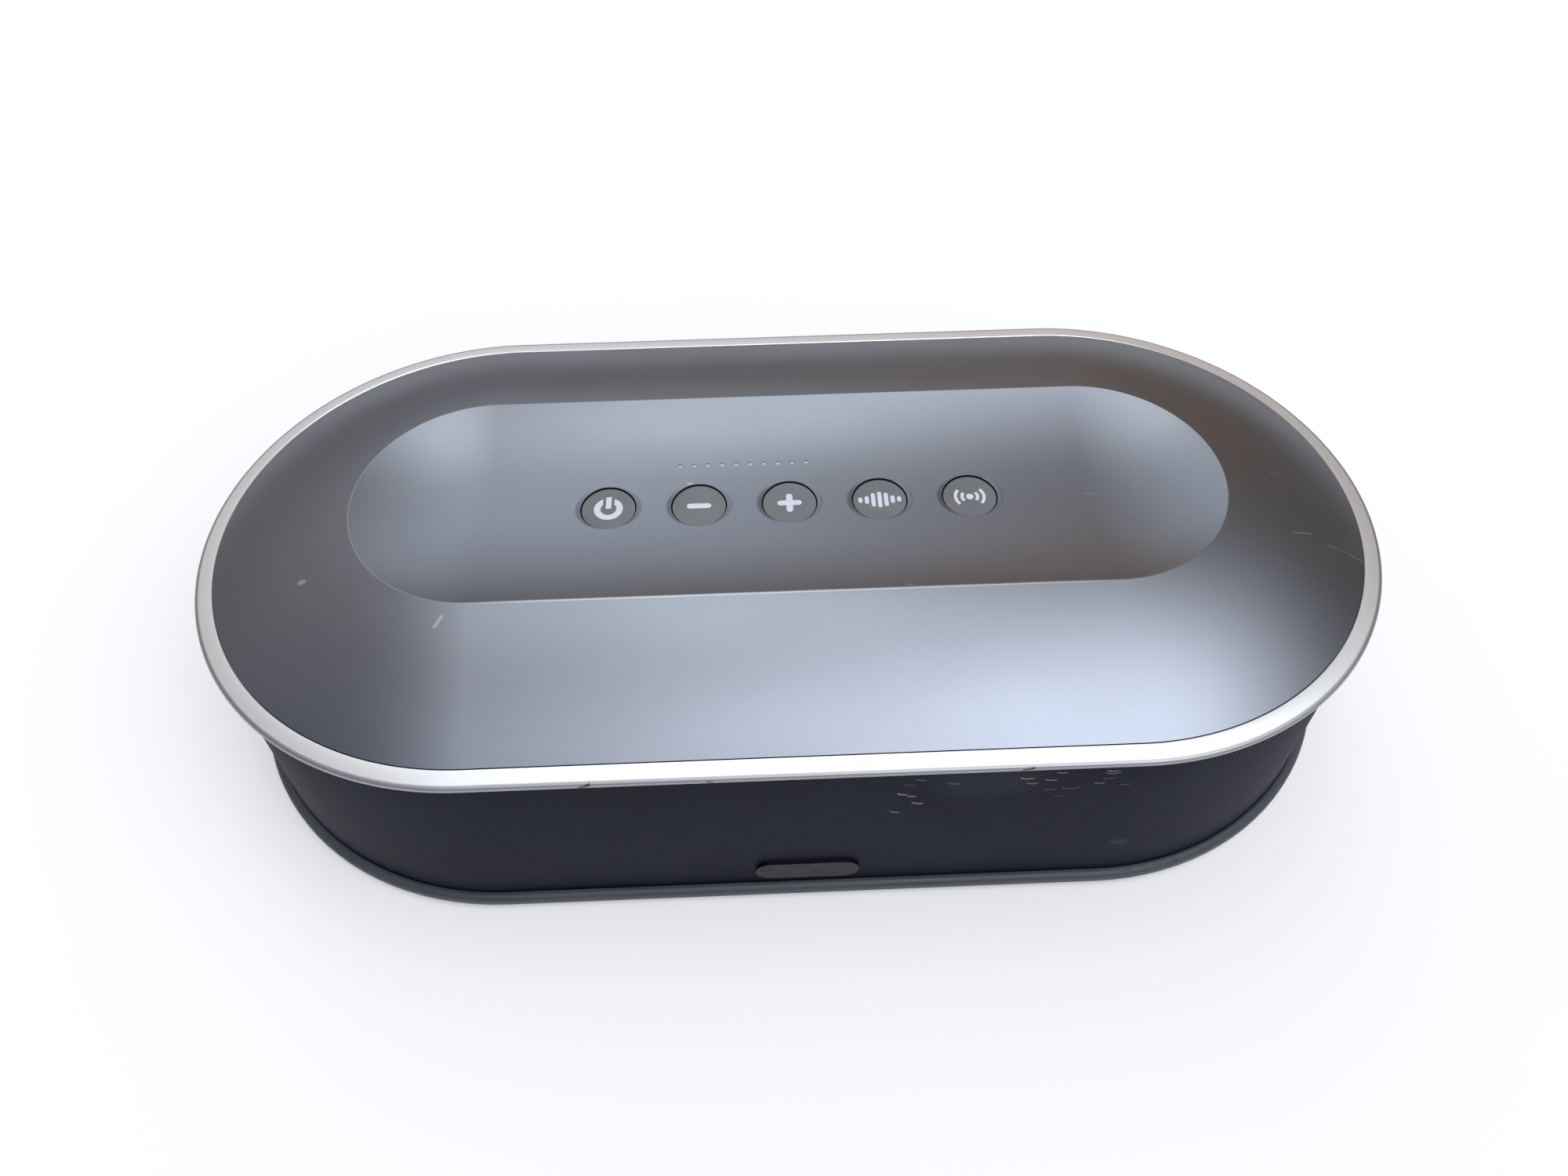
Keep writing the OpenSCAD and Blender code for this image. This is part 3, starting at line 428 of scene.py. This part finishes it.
def metal(name, colour, roughness, grain=(0.15, 6.0, 6.0), depth=0.004):
    """Metal with a fine drawn grain, whose scale is given along each axis."""
    g = Graph(name, colour, roughness, metallic=1.0)
    spot = g.place()
    drawn = g.noise(g.vector("MULTIPLY", spot, grain), 1.0, 3.0, 0.6)
    clouds = g.noise(spot, METAL_CLOUD_SCALE, 3.0)
    g.into("Base Color", g.mix(clouds, *(toned(colour, share) for share in METAL_TONES)))
    g.into("Roughness", g.spread(drawn, *NOISE_SPAN,
                                 roughness - METAL_PLAY, roughness + METAL_PLAY))
    g.relief(drawn, depth)
    return g.material


# ---------- materials of the outer pieces ----------

PLATE_COLOUR = (0.254, 0.269, 0.303)
PLATE_TINT = (0.55, 0.55, 0.55, 1)
PLATE_TONES = (0.97, 1.03)
PLATE_ROUGH = (0.28, 0.32)
SMEAR_STRETCH = (0.7, 1.2, 1.0)
SMEAR_SCALE = 0.05
SMEAR_SPAN = (0.2, 0.8)
SPECK_SCALE = 1.1
PEEL_SCALE = 0.35
PEEL_DEPTH = 0.001
PLATE_MARK_COLOUR = (0.75, 0.77, 0.80)
PLATE_MARKS = (
    # middle in X and Y, length, width, turn in degrees, strength
    (-92.9, -17.9, 0.7, 0.8, 0, 0.55),
    (-65.2, -29.9, 2.3, 0.45, 60, 0.35),
    (98.5, 1.8, 2.6, 0.3, 0, 0.3),
    (99.4, -13.3, 4.6, 0.28, 8, 0.45),
    (107.0, -15.1, 4.2, 0.55, -8, 0.2),
    (111.0, -15.9, 3.4, 0.45, -14, 0.3),
    (60.4, -0.6, 2.2, 0.4, -10, 0.12),
    (21.1, -25.6, 1.2, 0.5, 0, 0.2),
    (-20.0, 5.9, 0.7, 0.4, 10, 0.35),
)
# the painted shade, dark crescents beside each key over its shallow shoulder: its reach in X and Y,
# its edge in shares of that reach, its depth
PAINTED_SHADE_REACH = (6.75, 5.7)
PAINTED_SHADE_EDGE = (0.96, 1.02)
PAINTED_SHADE_DEPTH = 0.26
# the painted highlight, a bright line along the scoop's near edge: its strength, its half width,
# where its ends fade
PAINTED_HIGHLIGHT_STRENGTH = 0.4
PAINTED_HIGHLIGHT_WIDTH = (0.1, 0.4)
PAINTED_HIGHLIGHT_ENDS = (45.0, 66.0)
PAINTED_HIGHLIGHT_COLOUR = (0.75, 0.78, 0.83)


def plate_material():
    """Satin metallic paint: faint smears, painted shade beside the keys, a painted highlight along
    the scoop's near edge, and scratches.
    """
    g = Graph("plate_paint", PLATE_COLOUR, 0.3, metallic=1.0)
    g.surface.inputs["Specular Tint"].default_value = PLATE_TINT
    spot = g.place()
    smears = g.noise(g.vector("MULTIPLY", spot, SMEAR_STRETCH), SMEAR_SCALE, 1.0)
    specks = g.noise(spot, SPECK_SCALE, 2.0)
    peel = g.noise(spot, PEEL_SCALE, 1.0)
    colour = g.mix(specks, *(toned(PLATE_COLOUR, share) for share in PLATE_TONES))
    # painted shade: the plate's colour is darkened toward black in a crescent beside each key
    painted_shades = []
    for key in KEYS:
        spoke = g.vector("SUBTRACT", spot, (key_centre(key).x * 1000, 0, 0))
        spoke = g.vector("MULTIPLY", spoke, (1 / PAINTED_SHADE_REACH[0], 1 / PAINTED_SHADE_REACH[1], 0))
        painted_shades.append(g.spread(g.vector("LENGTH", spoke, out=1), *PAINTED_SHADE_EDGE, PAINTED_SHADE_DEPTH, 0.0))
    colour = g.mix(g.join("MAXIMUM", painted_shades), colour, (0, 0, 0))
    parts = g.parts(spot)
    # painted highlight: a bright line painted into the plate's colour along the scoop's near edge
    off = g.math("ABSOLUTE", g.math("ADD", parts[1], SCOOP_HALF * 1000))
    painted_highlight = g.math("MULTIPLY", g.spread(off, *PAINTED_HIGHLIGHT_WIDTH, PAINTED_HIGHLIGHT_STRENGTH, 0.0),
                    g.spread(g.math("ABSOLUTE", parts[0]), *PAINTED_HIGHLIGHT_ENDS, 1.0, 0.0))
    colour = g.mix(painted_highlight, colour, PAINTED_HIGHLIGHT_COLOUR)
    g.into("Base Color", g.mix(g.strokes(spot, PLATE_MARKS), colour, PLATE_MARK_COLOUR))
    g.into("Roughness", g.spread(smears, *SMEAR_SPAN, *PLATE_ROUGH))
    g.relief(peel, PEEL_DEPTH)
    return g.material


def key_material():
    """Key caps: darker than the plate, with a drier, finely grained face."""
    return moulded("key_plastic", (0.162, 0.165, 0.173), 0.45, grain=0.5, depth=0.003, specular=0.4)


TRIM_DULL = (0.86, 0.86, 0.86)
TRIM_BRIGHT = (0.90, 0.90, 0.90)
TRIM_ROUGH = (0.34, 0.39)
TRIM_GRAIN_SCALE = 1.5
TRIM_CLOUD_SCALE = 0.05
LIP_COLOUR = (0.36, 0.36, 0.37)
LIP_LOW = EDGE_Z * 1000 - 0.62
LIP_HIGH = EDGE_Z * 1000 - 0.52
NICK_COLOUR = (0.08, 0.075, 0.07)
NICK_DEPTH = 0.05
TRIM_NICKS = (
    # middle in X and Z, length, width, turn in degrees, strength
    (-38.3, 47.6, 1.6, 0.35, 15, 1),
    (-16.5, 47.5, 0.9, 0.25, -10, 1),
    (39.3, 47.6, 1.8, 0.3, 8, 1),
)


def trim_material():
    """Satin anodised aluminium with a darker lip, and a few nicks in its front edge."""
    g = Graph("trim_aluminium", (0.88, 0.88, 0.88), 0.36, metallic=0.8)
    spot = g.place()
    fine = g.noise(spot, TRIM_GRAIN_SCALE, 2.0)
    clouds = g.noise(spot, TRIM_CLOUD_SCALE, 3.0)
    parts = g.parts(spot)
    lip = g.spread(parts[2], LIP_LOW, LIP_HIGH, 1.0, 0.0)
    face = g.mix(lip, g.mix(clouds, TRIM_DULL, TRIM_BRIGHT), LIP_COLOUR)
    front, facing = g.from_front(parts)
    nicks = g.math("MULTIPLY", g.strokes(front, TRIM_NICKS), facing)
    g.into("Base Color", g.mix(nicks, face, NICK_COLOUR))
    g.into("Roughness", g.spread(fine, *NOISE_SPAN, *TRIM_ROUGH))
    g.relief(g.math("SUBTRACT", 1.0, nicks), NICK_DEPTH)
    return g.material


HOLE_PITCH = 0.8
HOLE_R = 0.23
HOLE_BLUR = 0.08
HOLE_DEPTH = 0.003
COAT_COLOUR = (0.0080, 0.0092, 0.0205)
COAT_TONES = (0.85, 1.3)
GRILLE_ROUGH = (0.55, 0.75)
DUST_SCALE = 0.04
DUST_SPAN = (0.35, 0.7)
HOLE_COLOUR = (0.0066, 0.0074, 0.0150)
PALE_PATCH_COLOUR = (0.16, 0.165, 0.175)
PALE_ARC_COLOUR = (0.30, 0.30, 0.34)
PALE_ARC_CURL = 0.2
PALE_ARC_THIN = 0.7
# pale curled strokes laid into the colour of the grille's front
GRILLE_PALE_ARCS = (
    # middle in X and Z, length, width, turn in degrees, strength
    (21.1, 41.9, 1.6, 0.35, -8, 0.35),
    (19.0, 40.4, 1.6, 0.35, -8, 0.2),
    (27.2, 40.2, 2.0, 0.4, -4, 0.3),
    (17.9, 37.1, 1.4, 0.4, -14, 0.9),
    (19.7, 36.3, 1.5, 0.35, -12, 0.7),
    (21.0, 33.6, 1.9, 0.4, -12, 0.8),
    (17.0, 30.6, 1.5, 0.5, -14, 0.5),
    (40.3, 41.0, 2.3, 0.35, -6, 0.8),
    (41.4, 39.2, 1.8, 0.35, -6, 0.55),
    (44.7, 40.2, 2.1, 0.35, -6, 0.6),
    (46.4, 42.6, 1.7, 0.4, -6, 0.6),
    (45.0, 36.8, 1.8, 0.4, -2, 0.2),
    (49.0, 36.9, 3.2, 0.35, 2, 0.22),
    (47.1, 34.4, 1.6, 0.35, -8, 0.15),
    (53.9, 38.4, 1.7, 0.35, -4, 0.45),
    (55.6, 42.5, 1.8, 0.35, -4, 0.75),
    (55.8, 41.7, 2.6, 0.35, 0, 0.4),
    (55.5, 40.0, 2.4, 0.35, 2, 0.18),
    (58.9, 37.6, 1.6, 0.4, 0, 0.18),
)
# paler soft patches laid into the colour of the grille's front
GRILLE_PALE_PATCHES = (
    # middle in X and Z, length, reach, turn in degrees, strength
    (62.5, 15.0, 1.8, 1.6, 0, 0.22),
    (33.6, 41.0, 8.0, 9.0, 0, 0.10),
    (72.0, 30.0, 20.0, 14.0, 0, 0.02),
    (-2.0, 30.0, 30.0, 16.0, 0, 0.012),
)


def grille_material():
    """Powder-coated sheet with a close pattern of fine staggered holes, pale curled strokes and
    paler soft patches on its front.
    """
    g = Graph("grille_steel", COAT_COLOUR, 0.6, specular=0.17)
    row_pitch = HOLE_PITCH * math.sqrt(3)
    walk = g.add("ShaderNodeUVMap", uv_map="band").outputs[0]
    walk = g.vector("MULTIPLY", walk, (1000 / HOLE_PITCH, 1000 / row_pitch, 0))
    centres = []
    for shift in (0.0, 0.5):
        cell = g.vector("FRACTION", g.vector("ADD", walk, (shift, shift, 0)))
        cell = g.vector("SUBTRACT", cell, (0.5, 0.5, 0))
        cell = g.vector("MULTIPLY", cell, (HOLE_PITCH, row_pitch, 0))
        centres.append(g.vector("LENGTH", cell, out=1))
    nearest = g.join("MINIMUM", centres)
    hole = g.spread(nearest, HOLE_R - HOLE_BLUR, HOLE_R + HOLE_BLUR, 1.0, 0.0)
    spot = g.place()
    dust = g.spread(g.noise(spot, DUST_SCALE, 4.0, 0.6), *DUST_SPAN, 0.0, 1.0)
    skin = g.mix(dust, *(toned(COAT_COLOUR, share) for share in COAT_TONES))
    front, facing = g.from_front(g.parts(spot))
    # pale curled strokes, on the front only
    pale_arcs = g.strokes(front, GRILLE_PALE_ARCS, thin=PALE_ARC_THIN, bend=PALE_ARC_CURL)
    # paler soft patches, on the front only
    pale_patches = g.strokes(front, GRILLE_PALE_PATCHES, blend="ADD")
    skin = g.mix(g.math("MULTIPLY", pale_patches, facing), skin, PALE_PATCH_COLOUR)
    holed = g.mix(hole, skin, HOLE_COLOUR)
    g.into("Base Color", g.mix(g.math("MULTIPLY", pale_arcs, facing), holed, PALE_ARC_COLOUR))
    g.into("Roughness", g.spread(hole, 0.0, 1.0, *GRILLE_ROUGH))
    g.relief(g.math("SUBTRACT", 1.0, hole), HOLE_DEPTH)
    return g.material


def legend_material():
    """Pale translucent inlay."""
    g = Graph("legend_resin", (0.74, 0.75, 0.82), 0.4)
    cloud = g.noise(g.place(), 1.2, 3.0)
    g.into("Base Color", g.mix(cloud, (0.66, 0.67, 0.74), (0.82, 0.83, 0.90)))
    g.surface.inputs["Subsurface Weight"].default_value = 0.1
    return g.material


def board_material():
    """Green solder mask over copper tracks."""
    g = Graph("board_laminate", (0.02, 0.14, 0.07), 0.35)
    tracks = g.add("ShaderNodeTexBrick", g.place(), (0.015, 0.12, 0.06, 1), (0.02, 0.17, 0.08, 1),
                   (0.03, 0.24, 0.11, 1), 0.35)
    g.into("Base Color", tracks.outputs["Color"])
    g.relief(tracks.outputs["Fac"], 0.03)
    return g.material


def slot_materials():
    """The material of every slot in the record."""
    return {
        "plate_plastic": plate_material(),
        "key_plastic": key_material(),
        "legend_resin": legend_material(),
        "plunger_plastic": moulded("plunger_plastic", (0.80, 0.78, 0.70), 0.4),
        "trim_aluminium": trim_material(),
        "grille_steel": grille_material(),
        "badge_metal": metal("badge_metal", (0.034, 0.034, 0.042), 0.4, grain=(0.3, 2.0, 2.0)),
        "base_plastic": moulded("base_plastic", (0.052, 0.055, 0.068), 0.45),
        "foot_rubber": moulded("foot_rubber", (0.020, 0.020, 0.022), 0.8, grain=0.5),
        "frame_plastic": moulded("frame_plastic", (0.020, 0.020, 0.023), 0.45),
        "box_plastic": moulded("box_plastic", (0.030, 0.031, 0.034), 0.5),
        "part_plastic": moulded("part_plastic", (0.018, 0.018, 0.020), 0.4),
        "soft_rubber": moulded("soft_rubber", (0.015, 0.015, 0.016), 0.75, grain=0.4),
        "board_laminate": board_material(),
        "led_resin": moulded("led_resin", (0.85, 0.80, 0.55), 0.25, depth=0.004),
        "guide_acrylic": moulded("guide_acrylic", (0.42, 0.44, 0.47), 0.3, depth=0.004),
        "tin_steel": metal("tin_steel", (0.66, 0.67, 0.68), 0.3),
        "plate_steel": metal("plate_steel", (0.40, 0.41, 0.43), 0.4),
        "screw_steel": metal("screw_steel", (0.50, 0.51, 0.52), 0.35, grain=(3.0, 3.0, 3.0)),
        "yoke_steel": metal("yoke_steel", (0.55, 0.56, 0.57), 0.3, grain=(4.0, 0.5, 4.0)),
        "ferrite": moulded("ferrite", (0.06, 0.06, 0.065), 0.6, grain=0.4, depth=0.05),
        "cone_paper": moulded("cone_paper", (0.025, 0.025, 0.028), 0.7, grain=0.6, depth=0.06),
        "coil_copper": metal("coil_copper", (0.70, 0.35, 0.18), 0.3,
                             grain=(1.0, 12.0, 1.0), depth=0.03),
        "cell_wrap": moulded("cell_wrap", (0.05, 0.18, 0.40), 0.3, grain=2.0, depth=0.02),
        "wire_red": moulded("wire_red", (0.45, 0.03, 0.03), 0.5),
        "wire_grey": moulded("wire_grey", (0.35, 0.35, 0.36), 0.5),
        "ribbon_film": moulded("ribbon_film", (0.60, 0.38, 0.12), 0.3, grain=0.5),
    }


# ---------- pieces ----------

def plate_profile():
    """The plate's outline from the middle of its face, round the rim, to that of its underside."""
    inner_dome = DOME_RADIUS - CREST_SOFT
    outer_scoop = SCOOP_RADIUS + CREST_SOFT
    crest = meet(DOME_AXIS, inner_dome, SCOOP_AXIS, outer_scoop)
    scoop_end = SCOOP_AXIS + (crest - SCOOP_AXIS) * (SCOOP_RADIUS / outer_scoop)
    dome_start = DOME_AXIS + (crest - DOME_AXIS) * (DOME_RADIUS / inner_dome)
    edge = Vector((PLATE_REACH, EDGE_Z))
    points = arc(SCOOP_AXIS, SCOOP_RADIUS,
                 -math.pi / 2, angle_at(SCOOP_AXIS, scoop_end), SCOOP_STEPS)
    points += arc(crest, CREST_SOFT,
                  angle_at(crest, scoop_end), angle_at(crest, dome_start), CREST_STEPS)[1:-1]
    points += arc(DOME_AXIS, DOME_RADIUS,
                  angle_at(DOME_AXIS, dome_start), angle_at(DOME_AXIS, edge), DOME_STEPS)
    under_dome = DOME_RADIUS - PLATE_THICK
    under_scoop = SCOOP_RADIUS + PLATE_THICK
    under = meet(DOME_AXIS, under_dome, SCOOP_AXIS, under_scoop)
    rim_x = PLATE_REACH - PLATE_RIM_T
    rim_top = DOME_AXIS.y + math.sqrt(under_dome ** 2 - (rim_x - DOME_AXIS.x) ** 2)
    points += [Vector((PLATE_REACH, EDGE_Z - PLATE_RIM_H)), Vector((rim_x, EDGE_Z - PLATE_RIM_H))]
    points += arc(DOME_AXIS, under_dome,
                  angle_at(DOME_AXIS, (rim_x, rim_top)), angle_at(DOME_AXIS, under), UNDER_STEPS)
    points += arc(SCOOP_AXIS, under_scoop,
                  angle_at(SCOOP_AXIS, under), -math.pi / 2, UNDER_STEPS)[1:]
    return points, crest


def key_centre(key):
    low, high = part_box(key + "_key")
    return (low + high) / 2


def key_cutter(x):
    """A key's hole, with a shallow shoulder on its two sides that fades front and back."""
    low = SCOOP_Z - 2 * PLATE_THICK
    high = SCOOP_Z + KEY_SHOULDER_TOP
    flare = KEY_SHOULDER_W / KEY_SHOULDER_H
    profile = [(0, low), (KEY_HOLE_R, low), (KEY_HOLE_R, SCOOP_Z),
               (KEY_HOLE_R + CUTTER_FLARE, high), (0, high)]
    cutter = turned("key_cutter", profile, (x, 0), None)
    for vertex in cutter.data.vertices:
        out = Vector((vertex.co.x - x, vertex.co.y))
        if out.length < KEY_HOLE_R / 2 or vertex.co.z < SCOOP_Z - SAME_HEIGHT:
            continue
        way = out.normalized()
        start = SCOOP_Z + (KEY_HOLE_R * way.y) ** 2 / (2 * SCOOP_RADIUS) + SHOULDER_CLEAR
        start -= (KEY_SHOULDER_H + SHOULDER_CLEAR) * way.x ** 2
        if vertex.co.z < high - SAME_HEIGHT:
            vertex.co.z = start
        else:
            out = way * (KEY_HOLE_R + (high - start) * flare)
            vertex.co.x, vertex.co.y = x + out.x, out.y
    return cutter


def dot_cutter(x):
    low = SCOOP_Z - 2 * PLATE_THICK
    high = SCOOP_Z + DOT_CUTTER_TOP
    profile = [(0, low), (DOT_R, low), (DOT_R, high), (0, high)]
    return turned("dot_cutter", profile, (x, DOT_ROW_Y), None, steps=DOT_STEPS)


def surface_normals(piece, crest):
    """Gives the plate's face the exact normals of its curves, so that its sheen runs evenly."""
    scoop_end = crest.x * SCOOP_RADIUS / (SCOOP_RADIUS + CREST_SOFT)
    dome_start = DOME_AXIS.x + (crest.x - DOME_AXIS.x) * DOME_RADIUS / (DOME_RADIUS - CREST_SOFT)
    faces_up = 0.5
    on_curve = 0.995
    mesh = piece.data

    def true_normal(spot):
        x = max(-RUN / 2, min(RUN / 2, spot.x))
        out = Vector((spot.x - x, spot.y))
        reach = out.length
        out = out.normalized() if reach > 1e-9 else Vector((0, 1))
        if reach < scoop_end:
            flat = (SCOOP_AXIS - Vector((reach, spot.z))) / SCOOP_RADIUS
        elif reach > dome_start:
            flat = (Vector((reach, spot.z)) - DOME_AXIS) / DOME_RADIUS
        else:
            flat = (Vector((reach, spot.z)) - crest) / CREST_SOFT
        return Vector((out.x * flat.x, out.y * flat.x, flat.y)).normalized()

    normals = [Vector((0, 0, 0))] * len(mesh.loops)
    for face in mesh.polygons:
        if face.normal.z < faces_up or face.center.z < EDGE_Z:
            continue
        if true_normal(face.center).dot(face.normal) < on_curve:
            continue
        for i in face.loop_indices:
            normals[i] = true_normal(mesh.vertices[mesh.loops[i].vertex_index].co)
    mesh.normals_split_custom_set(normals)


def make_plate(material):
    """The plate's shell, with its holes for the keys and the row of indicator dots."""
    profile, crest = plate_profile()
    plate = sweep("plate_shell", profile, material, PLATE_SHARP, closed=False)
    cutters = [key_cutter(key_centre(key).x) for key in KEYS]
    middle = (key_centre("volume_down").x + key_centre("volume_up").x) / 2
    for i in range(DOT_COUNT):
        cutters.append(dot_cutter(middle + (i - (DOT_COUNT - 1) / 2) * DOT_PITCH))
    cut(plate, cutters)
    plate.data.set_sharp_from_angle(angle=math.radians(PLATE_SHARP))
    surface_normals(plate, crest)
    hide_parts("top_plate")


def make_key(key, material):
    """A key on its flange and stem: its cap has a soft edge, and rises with the scoop in front
    and behind."""
    low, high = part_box(key + "_key")
    top = high.z - LEGEND_PROUD
    flange = low.z + KEY_STEM_H
    cap_foot = flange + KEY_FLANGE_H
    rim = (KEY_CAP_R - KEY_EDGE_W, top - KEY_EDGE_H)
    profile = [(0, low.z), (KEY_STEM_R, low.z), (KEY_STEM_R, flange), (KEY_FLANGE_R, flange),
               (KEY_FLANGE_R, cap_foot), (KEY_CAP_R, cap_foot)]
    for i in range(KEY_EDGE_STEPS + 1):
        turn = i / KEY_EDGE_STEPS * math.pi / 2
        profile.append((rim[0] + KEY_EDGE_W * math.cos(turn), rim[1] + KEY_EDGE_H * math.sin(turn)))
    for i in reversed(range(KEY_FACE_STEPS)):
        profile.append((KEY_FLAT_R + (rim[0] - KEY_FLAT_R) * i / KEY_FACE_STEPS, top))
    profile.append((0, top))
    cap = turned(key + "_cap", profile, key_centre(key), material, key + "_button")
    for vertex in cap.data.vertices:
        if vertex.co.z > cap_foot + SAME_HEIGHT and abs(vertex.co.y) > KEY_FLAT_R:
            share = (vertex.co.y ** 2 - KEY_FLAT_R ** 2) / (KEY_CAP_R ** 2 - KEY_FLAT_R ** 2)
            vertex.co.z += share * KEY_CAP_R ** 2 / (2 * SCOOP_RADIUS)
    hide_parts(key + "_key")


def make_trim(material):
    """The bright ring: a crowned face that falls away to a round outer lip."""
    inner = PLATE_REACH - TRIM_INSET
    face = PLATE_REACH + TRIM_GAP
    start = face + TRIM_CHAMFER
    lip = (EDGE_Z - TRIM_FALL - TRIM_Z) / 2
    middle = (TRIM_REACH - lip, TRIM_Z + lip)
    seat = EDGE_Z - PLATE_RIM_H
    profile = [(inner, TRIM_Z), (inner, seat), (face, seat), (face, EDGE_Z - TRIM_CHAMFER),
               (start, EDGE_Z)]
    for i in range(1, TRIM_FACE_STEPS):
        share = i / TRIM_FACE_STEPS
        profile.append((start + (middle[0] - start) * share,
                        EDGE_Z - TRIM_FALL * share ** TRIM_CROWN))
    steepest = math.atan(TRIM_CROWN * TRIM_FALL / (middle[0] - start))
    profile += arc(middle, lip, math.pi / 2 - steepest, -math.pi / 2, TRIM_LIP_STEPS)
    ring = sweep("trim_band", profile, material, TRIM_SHARP)
    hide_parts("trim_ring")


def make_grille(material):
    """The sheet that carries the hole pattern, with its window for the ports at the back."""
    foot = GRILLE_HIGH.y
    top = foot - GRILLE_LEAN
    profile = [(foot - GRILLE_THICK, GRILLE_LOW.z), (foot, GRILLE_LOW.z),
               (top, GRILLE_HIGH.z - GRILLE_SOFT), (top - GRILLE_SOFT_IN, GRILLE_HIGH.z),
               (top - GRILLE_THICK, GRILLE_HIGH.z)]
    sheet = sweep("grille_sheet", profile, material, GRILLE_SHARP)
    low, high = WINDOW_Z[0] - WINDOW_GAP, WINDOW_Z[1] + WINDOW_GAP
    middle = Vector(((PANEL_LOW.x + PANEL_HIGH.x) / 2, foot, (low + high) / 2))
    size = Vector((2 * (WINDOW_HALF + WINDOW_GAP), WINDOW_DEPTH, high - low))
    bm = bmesh.new()
    bmesh.ops.create_cube(bm, size=1, matrix=Matrix.LocRotScale(middle, None, size))
    cut(sheet, [finish_mesh("window_cutter", bm, None, "root", GRILLE_SHARP)])
    sheet.data.set_sharp_from_angle(angle=math.radians(GRILLE_SHARP))
    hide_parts("grille")


def dress_frame(materials):
    """Gives every CAD node the material of its slot."""
    for part in frame["record"]["subparts"]:
        node = frame["nodes"][part["node"]]
        node.data.materials.clear()
        node.data.materials.append(materials[part["material_slot"]])


# ---------- stage, light and camera ----------

FLOOR_LIFT = 0.22
FIBRE_SCALE = 0.01
FLOOR_RADIUS = 6
FLOOR_STEPS = 96


def make_floor():
    """White paper, lifted a little where it is seen or mirrored, so that it stays pale."""
    g = Graph("floor_paper", (0.80, 0.79, 0.77), 0.9, specular=0.1)
    fibres = g.noise(g.place(), FIBRE_SCALE, 3.0)
    g.into("Base Color", g.mix(fibres, (0.79, 0.78, 0.76), (0.81, 0.80, 0.78)))
    rays = g.add("ShaderNodeLightPath").outputs
    bounced = g.math("MAXIMUM", rays["Is Glossy Ray"], rays["Is Transmission Ray"])
    seen = g.math("MAXIMUM", rays["Is Camera Ray"], bounced)
    g.surface.inputs["Emission Color"].default_value = (1, 1, 1, 1)
    g.into("Emission Strength", g.math("MULTIPLY", seen, FLOOR_LIFT))
    bm = bmesh.new()
    bmesh.ops.create_circle(bm, cap_ends=True, radius=FLOOR_RADIUS, segments=FLOOR_STEPS)
    mesh = bpy.data.meshes.new("floor")
    bm.to_mesh(mesh)
    bm.free()
    mesh.materials.append(g.material)
    put_in_scene("floor", mesh)


def sky_way(right, back):
    """The direction that leans right and back from straight up by so many degrees."""
    return Vector((math.tan(math.radians(right)), math.tan(math.radians(back)), 1)).normalized()


SOFT_LIGHTS = (
    # lean right and back in degrees, brightness, falloff, colour
    (21, -23, 3.4, 7.4, (0.95, 1.0, 1.09)),
    (-4, 16, 1.95, 38, (0.92, 1.0, 1.03)),
    (-15, 40, 0.45, 60, (0.85, 1.0, 1.12)),
    (-10, 52, 0.70, 17, (0.80, 1.0, 1.17)),
    (-46, 44, 0.30, 5, (1.15, 1.0, 1.05)),
    (-60, -50, 0.12, 5, (0.5, 0.9, 1.7)),
    (44, 70, 0.12, 7, (1.9, 1.0, 0.5)),
)
ROOM_GLOW = (0.168, 0.153, 0.136)


def make_world():
    """A dim warm room under broad soft lights: front right, overhead, round the back, low left.
    The camera itself sees plain white."""
    world = bpy.data.worlds.new("studio")
    bpy.context.scene.world = world
    world.use_nodes = True
    w = Nodes(world.node_tree)
    way = w.add("ShaderNodeTexCoord").outputs["Generated"]
    total = ROOM_GLOW
    for right, back, brightness, falloff, colour in SOFT_LIGHTS:
        facing = w.vector("DOT_PRODUCT", way, sky_way(right, back), out=1)
        glow = w.math("POWER", w.math("MAXIMUM", facing, 0.0), falloff)
        total = w.vector("MULTIPLY_ADD", glow, Vector(colour) * brightness, total)
    room = w.tree.nodes["Background"]
    w.put(room.inputs["Color"], total)
    backdrop = w.add("ShaderNodeBackground", (1, 1, 1, 1))
    seen = w.add("ShaderNodeLightPath").outputs["Is Camera Ray"]
    share = w.add("ShaderNodeMixShader", seen, room.outputs[0], backdrop.outputs[0])
    w.put(w.tree.nodes["World Output"].inputs["Surface"], share.outputs[0])


LENS_MM = 27.07
SENSOR_MM = 36
LENS_SHIFT = (0.002, 0.0057)
CLIP_START = 0.01
CAMERA_PLACE = Vector((mm(-6.5), mm(-160.8), mm(228.7)))
CAMERA_AIM = Vector((mm(-2.56), mm(-19.67), EDGE_Z))
CAMERA_ROLL = -0.81


def make_camera():
    lens = bpy.data.cameras.new("view")
    lens.lens = LENS_MM
    lens.sensor_width = SENSOR_MM
    lens.shift_x, lens.shift_y = LENS_SHIFT
    lens.clip_start = CLIP_START
    camera = put_in_scene("view", lens)
    camera.location = CAMERA_PLACE
    camera.rotation_mode = "QUATERNION"
    camera.rotation_quaternion = ((CAMERA_AIM - CAMERA_PLACE).to_track_quat("-Z", "Y")
                                  @ Quaternion((0, 0, 1), math.radians(CAMERA_ROLL)))
    bpy.context.scene.camera = camera


make_camera()
slots = slot_materials()
dress_frame(slots)
make_plate(slots["plate_plastic"])
for name in KEYS:
    make_key(name, slots["key_plastic"])
make_trim(slots["trim_aluminium"])
make_grille(slots["grille_steel"])
make_floor()
make_world()
bpy.context.scene.view_settings.view_transform = "Standard"
